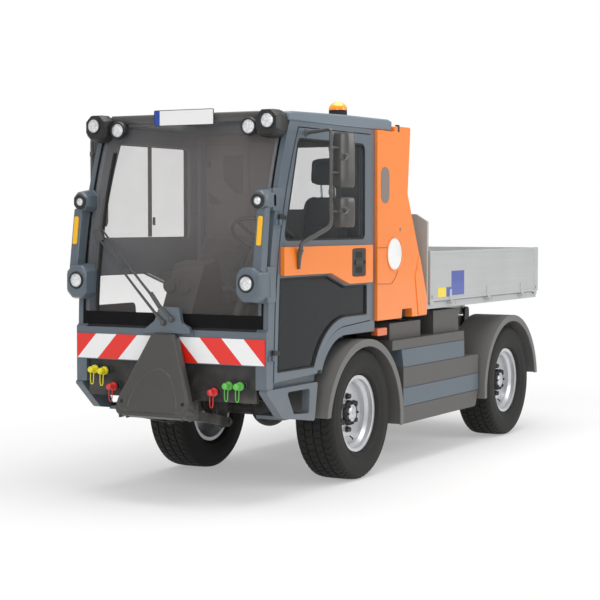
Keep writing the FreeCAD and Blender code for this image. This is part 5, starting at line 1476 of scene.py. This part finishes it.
# Painted shade: the slot and a small hole are flat grey-brown plates on the face, for the shaded openings and
# the dark parts behind them.
slot = prism(rounded(-0.353, -0.237, 1.698, 1.923, 0.05, 6), "xz", FACE, FACE + 0.001)
hole_shade = lathe([(0.0, 0.001), (0.011, 0.001), (0.012, 0.0), (0.0, 0.0)], 20)
seams = [ribbon([(TOWER_FRONT, 1.420), (-0.349, 1.420)]),
         ribbon([(TOWER_FRONT, 1.195), (-0.386, 1.190), (-0.440, 1.222), (-0.481, 1.272)])]
brackets = [block(-0.500, -0.475, 0.645, 0.668, 2.150, 2.195),
            block(-0.640, -0.618, 0.480, 0.502, 2.184, 2.232)]
marker = prism(rounded(-0.350, -0.215, 0.868, 0.916, 0.01), "xz", 0.610, 0.655)
piece("roof_shell", prism(roof_line, "xz", -0.648, 0.648), roof_paint, "chassis", "blue_grey", bevel=0.010,
      replaces=["roof"])
piece("tower_slots", both(joined(slot, moved(hole_shade, -0.515, FACE, 1.533))), slot_grey, "chassis",
      "dark_plastic")
piece("tower_seams", both(joined(*seams)), seam_orange, "chassis", "orange")
piece("tower_brackets", both(joined(*brackets)), black_plastic, "chassis", "black_plastic", bevel=0.003)
piece("marker_lamps", both(marker), marker_orange, "chassis", "amber", bevel=0.002)
print("pieces so far:", len(made))

# %% [markdown]
# The bed's side boards hang between corner posts of the same aluminium. Each post has a
# groove, a rivet half-way up and a slot for the latch. The left board carries three blank
# stickers, a yellow one and two blue ones.

# %% Bed posts, stickers and rails
BOARD_OUT = 0.672
POSTS = ((-1.0156, -0.9656), (-2.9420, -2.8920))
POST_LOW, POST_HIGH = 1.028, 1.389
rivet = lathe([(0.0, 0.003), (0.005, 0.0025), (0.008, 0.0), (0.0, 0.0)], 16)
rails = [block(-2.890, -1.018, BOARD_OUT - 0.001, BOARD_OUT + 0.003, low, high)
         for low, high in ((1.368, 1.3845), (1.052, 1.070))]
# Painted shade: each latch slot and the groove beside each post are thin black strips, for the shaded
# openings.
post_slot_shades = []
for rear, front in POSTS:
    centre = (rear + front) / 2
    rails.append(prism(rounded(rear, front, POST_LOW, POST_HIGH, 0.004), "xz", BOARD_OUT - 0.002,
                       BOARD_OUT + 0.0035))
    rails.append(moved(rivet, centre, BOARD_OUT + 0.0035, 1.210))
    post_slot_shades.append(block(centre - 0.004, centre + 0.004, BOARD_OUT + 0.003, BOARD_OUT + 0.0042, 1.070, 1.092))
    post_slot_shades.append(block(rear - 0.003, rear, BOARD_OUT - 0.002, BOARD_OUT + 0.0012, 1.030, 1.387))
pair("board_rails_", joined(*rails), aluminium, "side_board_", "aluminium", bevel=0.0015)
pair("post_slots_", joined(*post_slot_shades), rubber, "side_board_", "black_plastic")
STICKERS = {"sticker_yellow": (label_yellow, -1.228, -1.095, 1.075, 1.139),
            "sticker_small": (label_blue, -1.312, -1.234, 1.075, 1.139),
            "sticker_blue": (label_blue, -1.536, -1.320, 1.081, 1.247)}
for name, (finish, x0, x1, z0, z1) in STICKERS.items():
    piece(name, block(x0, x1, BOARD_OUT + 0.0002, BOARD_OUT + 0.0010, z0, z1), finish, "side_board_left",
          "aluminium")
print("pieces so far:", len(made))

# %% [markdown]
# Inside the cab the doors have a trim panel between their windows. The rear wall has a panel
# round its window, with a few pressed recesses and ribs. They're seen through glass, so
# plain shapes in the right places are enough.

# %% Cab trim
WALL_FACE = span("rear_wall")[1][0]
DOOR_IN = span("door_left")[0][1]
PANEL = WALL_FACE + 0.0040
trim_line = fillet([(1.035, 1.255), (1.010, 1.462), (-0.060, 1.462), (-0.060, 1.200), (0.225, 1.200),
                    (0.455, 1.268)])
pair("door_trim_", prism(trim_line, "xz", DOOR_IN + 0.016, DOOR_IN + 0.0255), cab_trim, "door_", "cab_inside",
     bevel=0.004)
pair("door_gasket_", block(-0.026, 0.009, 0.6275, 0.6345, 1.452, 2.038), rubber, "door_", "black_plastic")
pocket = prism(fillet([(0.985, 0.760), (0.985, 1.085, 0.03), (0.585, 1.085, 0.03), (0.560, 0.760)]), "xz",
               DOOR_IN + 0.006, DOOR_IN + 0.024)
piece("door_pocket", mirrored(pocket), quilted, "door_right", "cab_inside", bevel=0.004)


def on_wall(low, high, proud=0.007, behind=PANEL + 0.0003, out=PANEL):
    """A block on the rear wall between two corners (y, z)."""
    return block(behind, out + proud, low[0], high[0], low[1], high[1])


WALL_LOW, WALL_HIGH = (-0.560, 1.000), (0.560, 2.100)
WINDOW_LOW, WINDOW_HIGH = (-0.05, 1.66), (0.50, 2.07)
around = ((WALL_LOW, (WINDOW_LOW[0], WALL_HIGH[1])), ((WINDOW_HIGH[0], WALL_LOW[1]), WALL_HIGH),
          ((WINDOW_LOW[0], WALL_LOW[1]), (WINDOW_HIGH[0], WINDOW_LOW[1])),
          ((WINDOW_LOW[0], WINDOW_HIGH[1]), (WINDOW_HIGH[0], WALL_HIGH[1])))
panel = joined(*[on_wall(low, high, 0.0, WALL_FACE + 0.0004) for low, high in around])
# Painted shade: the pressed recesses are thin plates in the darker trim, for the shade inside them.
recess_shades = [prism(line, "yz", PANEL + 0.0003, PANEL + 0.0025) for line in (
    [(-0.436, 2.010), (-0.292, 2.010), (-0.292, 1.762), (-0.345, 1.762), (-0.436, 1.850)],
    [(-0.556, 1.780), (-0.443, 1.706), (-0.490, 1.690), (-0.545, 1.700)],
    [(-0.560, 1.930), (-0.530, 1.930), (-0.530, 1.980), (-0.560, 1.980)])]
ribs = [on_wall((y, 1.100), (y + 0.010, 2.080)) for y in (-0.250, -0.070)]
piece("wall_panel", panel, wall_trim, "chassis", "cab_inside")
piece("wall_recesses", joined(*recess_shades), cab_trim, "chassis", "cab_inside")
ribs.append(on_wall((-0.560, 2.080), (0.560, 2.092)))
piece("wall_ribs", joined(*ribs), wall_trim, "chassis", "cab_inside", bevel=0.002)
print("pieces so far:", len(made))

# %% [markdown]
# The driver sees two round dials on the console and a dark cowl under the windscreen. By the
# seat there's an armrest with a lever in a rubber bellows, a lathe profile that goes in and
# out.

# %% Dials, cowl and arm console
dial = lathe([(0.0, 0.002), (0.034, 0.002), (0.035, 0.006), (0.041, 0.008), (0.046, 0.0), (0.0, 0.0)],
             36, "x")
dials = [moved(dial, 0.9985, y, 1.213) for y in (-0.090, 0.012)]
console_seam = block(0.996, 1.003, -0.150, 0.060, 1.288, 1.294)
piece("console_dials", joined(*dials, console_seam), black_plastic, "chassis", "cab_inside")
cowl = block(1.020, 1.118, -0.605, 0.605, 0.900, 0.990)
piece("cowl", cowl, cab_trim, "chassis", "cab_inside", bevel=0.006)
bellows = lathe([(0.0, 0.155), (0.012, 0.150), (0.014, 0.110), (0.030, 0.095), (0.022, 0.085), (0.036, 0.070),
                 (0.028, 0.060), (0.042, 0.045), (0.034, 0.035), (0.048, 0.020), (0.048, 0.0), (0.0, 0.0)],
                28, "z")
knob = lathe([(0.0, 0.055), (0.014, 0.050), (0.020, 0.030), (0.016, 0.0), (0.0, 0.0)], 20, "z")
lever = joined(bellows, tube([(0, 0, 0.14), (-0.02, 0.01, 0.23)], 0.009), moved(knob, -0.02, 0.01, 0.22))
armrest = prism(fillet([(-0.02, 1.270, 0.02), (0.300, 1.270, 0.03), (0.300, 1.315, 0.02),
                        (-0.02, 1.315, 0.02)]), "xz", 0.090, 0.150)
stand = block(0.060, 0.400, 0.085, 0.155, 0.975, 1.255)
piece("arm_console", joined(armrest, moved(lever, 0.340, 0.100, 1.250), stand), black_plastic, "chassis",
      "cab_inside", bevel=0.004)
print("pieces so far:", len(made))

# %% [markdown]
# The coupling at the front is a cast triangle that slips into a matching pocket on each tool.
# Its skin is a prism with big round corners and a wide bevel, with an arch-shaped ridge on
# the face and a boss round each bore. It's drawn flat and then leaned back, as it stands on
# the truck.

# %% Coupling triangle
LEAN = 16.4
FOOT_X, FOOT_Z = 1.340, 0.490
PROUD = 0.0054
BORES = ((-0.205, 0.078), (0.205, 0.078))


def leaned(shape):
    """Turn a shape drawn upright about the triangle's foot line, and set it in place."""
    return moved(turned(shape, (0, 1, 0), -LEAN), FOOT_X, 0.0, FOOT_Z)


skin = prism(fillet([(-0.272, 0.020, 0.06), (0.272, 0.020, 0.06), (0.078, 0.4790, 0.03),
                     (-0.078, 0.4790, 0.03)], 8), "yz", -0.060, PROUD)
arch_half = [(0.163, 0.045), (0.152, 0.105), (0.092, 0.222)]
arch_points = [(-y, h) for y, h in arch_half] + [(0.0, 0.270)] + arch_half[::-1]
ridge = tube(smooth_path([(-0.002, y, h) for y, h in arch_points], 10), 0.012)
boss = lathe([(0.011, 0.0), (0.012, 0.004), (0.026, 0.004), (0.030, 0.0), (0.011, 0.0)], 32, "x")
# Painted shade: each bore is a flat black disc on the face, for the dark hole.
bore_shade = lathe([(0.0, 0.0004), (0.0115, 0.0004), (0.012, 0.0), (0.0, 0.0)], 24, "x")
bosses = [moved(boss, PROUD - 0.003, *place) for place in BORES]
bore_shades = [moved(bore_shade, PROUD, *place) for place in BORES]
piece("triangle_skin", leaned(skin), coupling_grey, "coupling_triangle", "dark_plastic", bevel=0.014)
piece("triangle_arch", leaned(joined(moved(ridge, PROUD - 0.006), *bosses)), coupling_grey,
      "coupling_triangle", "dark_plastic")
piece("triangle_bores", leaned(joined(*bore_shades)), rubber, "coupling_triangle", "black_plastic")
print("pieces so far:", len(made))

# %% [markdown]
# The photograph was taken from the front left, a little below eye height, with a long lens.
# The camera's place was solved from the picture's vanishing points, and its angles and
# focal length belong to that solution.

# %% Camera
CAMERA_PLACE = (AXLE_X + 8.882, 5.124, 1.58)
CAMERA_DOWN = 2.745
CAMERA_TURN = 118.9
LENS_MM, SENSOR_MM = 97.62, 36.0

scene = bpy.context.scene


def added(name, data):
    """A new object in the scene for a mesh, a camera or a light."""
    thing = bpy.data.objects.new(name, data)
    scene.collection.objects.link(thing)
    return thing


lens_data = bpy.data.cameras.new("camera")
lens_data.lens = LENS_MM
lens_data.sensor_width = SENSOR_MM
lens_data.sensor_fit = "HORIZONTAL"
camera = added("camera", lens_data)
camera.location = CAMERA_PLACE
camera.rotation_euler = (math.radians(90 - CAMERA_DOWN), 0.0, math.radians(CAMERA_TURN))
scene.camera = camera
print("camera at", [round(c, 3) for c in CAMERA_PLACE])

# %% [markdown]
# The picture has a white ground with a soft shadow under the truck. A floor that glows for
# the camera gives that, weakly near the truck and fully further off, while it stays a plain
# floor for all other light. The glow's border is an ellipse, as the shadow is.

# %% Floor
FLOOR_SIZE = 60.0
SHADOW_HALF = (2.6, 1.5)
FLOOR_WHITE = (0.86, 0.86, 0.86, 1.0)


def floor_finish():
    """White floor that glows a little for the camera near the truck, and fully further off."""
    f = Finish("floor_white", Roughness=0.9, Base_Color=FLOOR_WHITE)
    glow = f.node("ShaderNodeEmission", {}, Color=(1.0, 1.0, 1.0, 1.0), Strength=1.0)
    rays = [f.node("ShaderNodeLightPath", {}, output=kind) for kind in ("Is Camera Ray", "Is Glossy Ray")]
    x, y, _ = f.xyz()
    u, v = x / SHADOW_HALF[0], y / SHADOW_HALF[1]
    away = f.node("ShaderNodeMath", {"operation": "SQRT"}, u * u + v * v)
    seen_ray = f.node("ShaderNodeMath", {"operation": "MAXIMUM"}, *rays)
    mixed = f.node("ShaderNodeMixShader", {}, seen_ray * away.ramp(0.9, 2.2, 0.35, 1.0),
                   Value(f, f.shader.outputs[0]), glow)
    f.tree.links.new(mixed.socket, f.tree.nodes["Material Output"].inputs["Surface"])
    return f.material


half = FLOOR_SIZE / 2
floor_mesh = bpy.data.meshes.new("floor")
floor_mesh.from_pydata([(-half, -half, 0), (half, -half, 0), (half, half, 0), (-half, half, 0)], [],
                       [[0, 1, 2, 3]])
floor_mesh.materials.append(floor_finish())
added("floor", floor_mesh)
print("floor side:", FLOOR_SIZE, "m")

# %% [markdown]
# The sky is white for the camera and dimmer for everything else, so that it fills the
# shadows only a little. Three large square lamps do the rest, one from above, one from the
# truck's left and one from the front, at a level where a colour renders about as written.

# %% Sky and lamps
SKY_LEVEL, SKY_SEEN = 0.55, 1.0
world = bpy.data.worlds.new("studio")
scene.world = world
world.use_nodes = True
sky_nodes, sky_links = world.node_tree.nodes, world.node_tree.links
sky = sky_nodes["Background"]
seen = sky_nodes.new("ShaderNodeLightPath")
level = sky_nodes.new("ShaderNodeMapRange")
level.inputs["To Min"].default_value = SKY_LEVEL
level.inputs["To Max"].default_value = SKY_SEEN
any_ray = sky_nodes.new("ShaderNodeMath")
any_ray.operation = "MAXIMUM"
sky_links.new(seen.outputs["Is Camera Ray"], any_ray.inputs[0])
sky_links.new(seen.outputs["Is Transmission Ray"], any_ray.inputs[1])
sky_links.new(any_ray.outputs[0], level.inputs["Value"])
sky_links.new(level.outputs[0], sky.inputs["Strength"])
sky.inputs["Color"].default_value = (1.0, 1.0, 1.0, 1.0)


def soft_lamp(name, place, aim, size, power):
    """A square area lamp at a place, turned to face a point."""
    light = bpy.data.lights.new(name, "AREA")
    light.shape = "SQUARE"
    light.size = size
    light.energy = power
    thing = added(name, light)
    thing.location = (place[0] + AXLE_X, *place[1:])
    way = np.array(aim) - np.array(place)
    thing.rotation_euler = (math.acos(-way[2] / np.linalg.norm(way)), 0.0,
                            math.atan2(way[0], -way[1]) + math.pi)


soft_lamp("top_lamp", (-0.5, 0.5, 7.5), (-0.8, 0.0, 0.8), 6.0, 420.0)
soft_lamp("side_lamp", (-2.5, 7.5, 4.2), (-0.8, 0.0, 1.0), 4.0, 190.0)
soft_lamp("front_lamp", (7.5, 2.5, 3.6), (0.3, 0.0, 1.2), 4.0, 150.0)
scene.view_settings.view_transform = "Standard"
print("lamps:", len(bpy.data.lights))

# %% [markdown]
# The last step counts the pieces made.

# %% Finish
print("pieces made:", len(made))
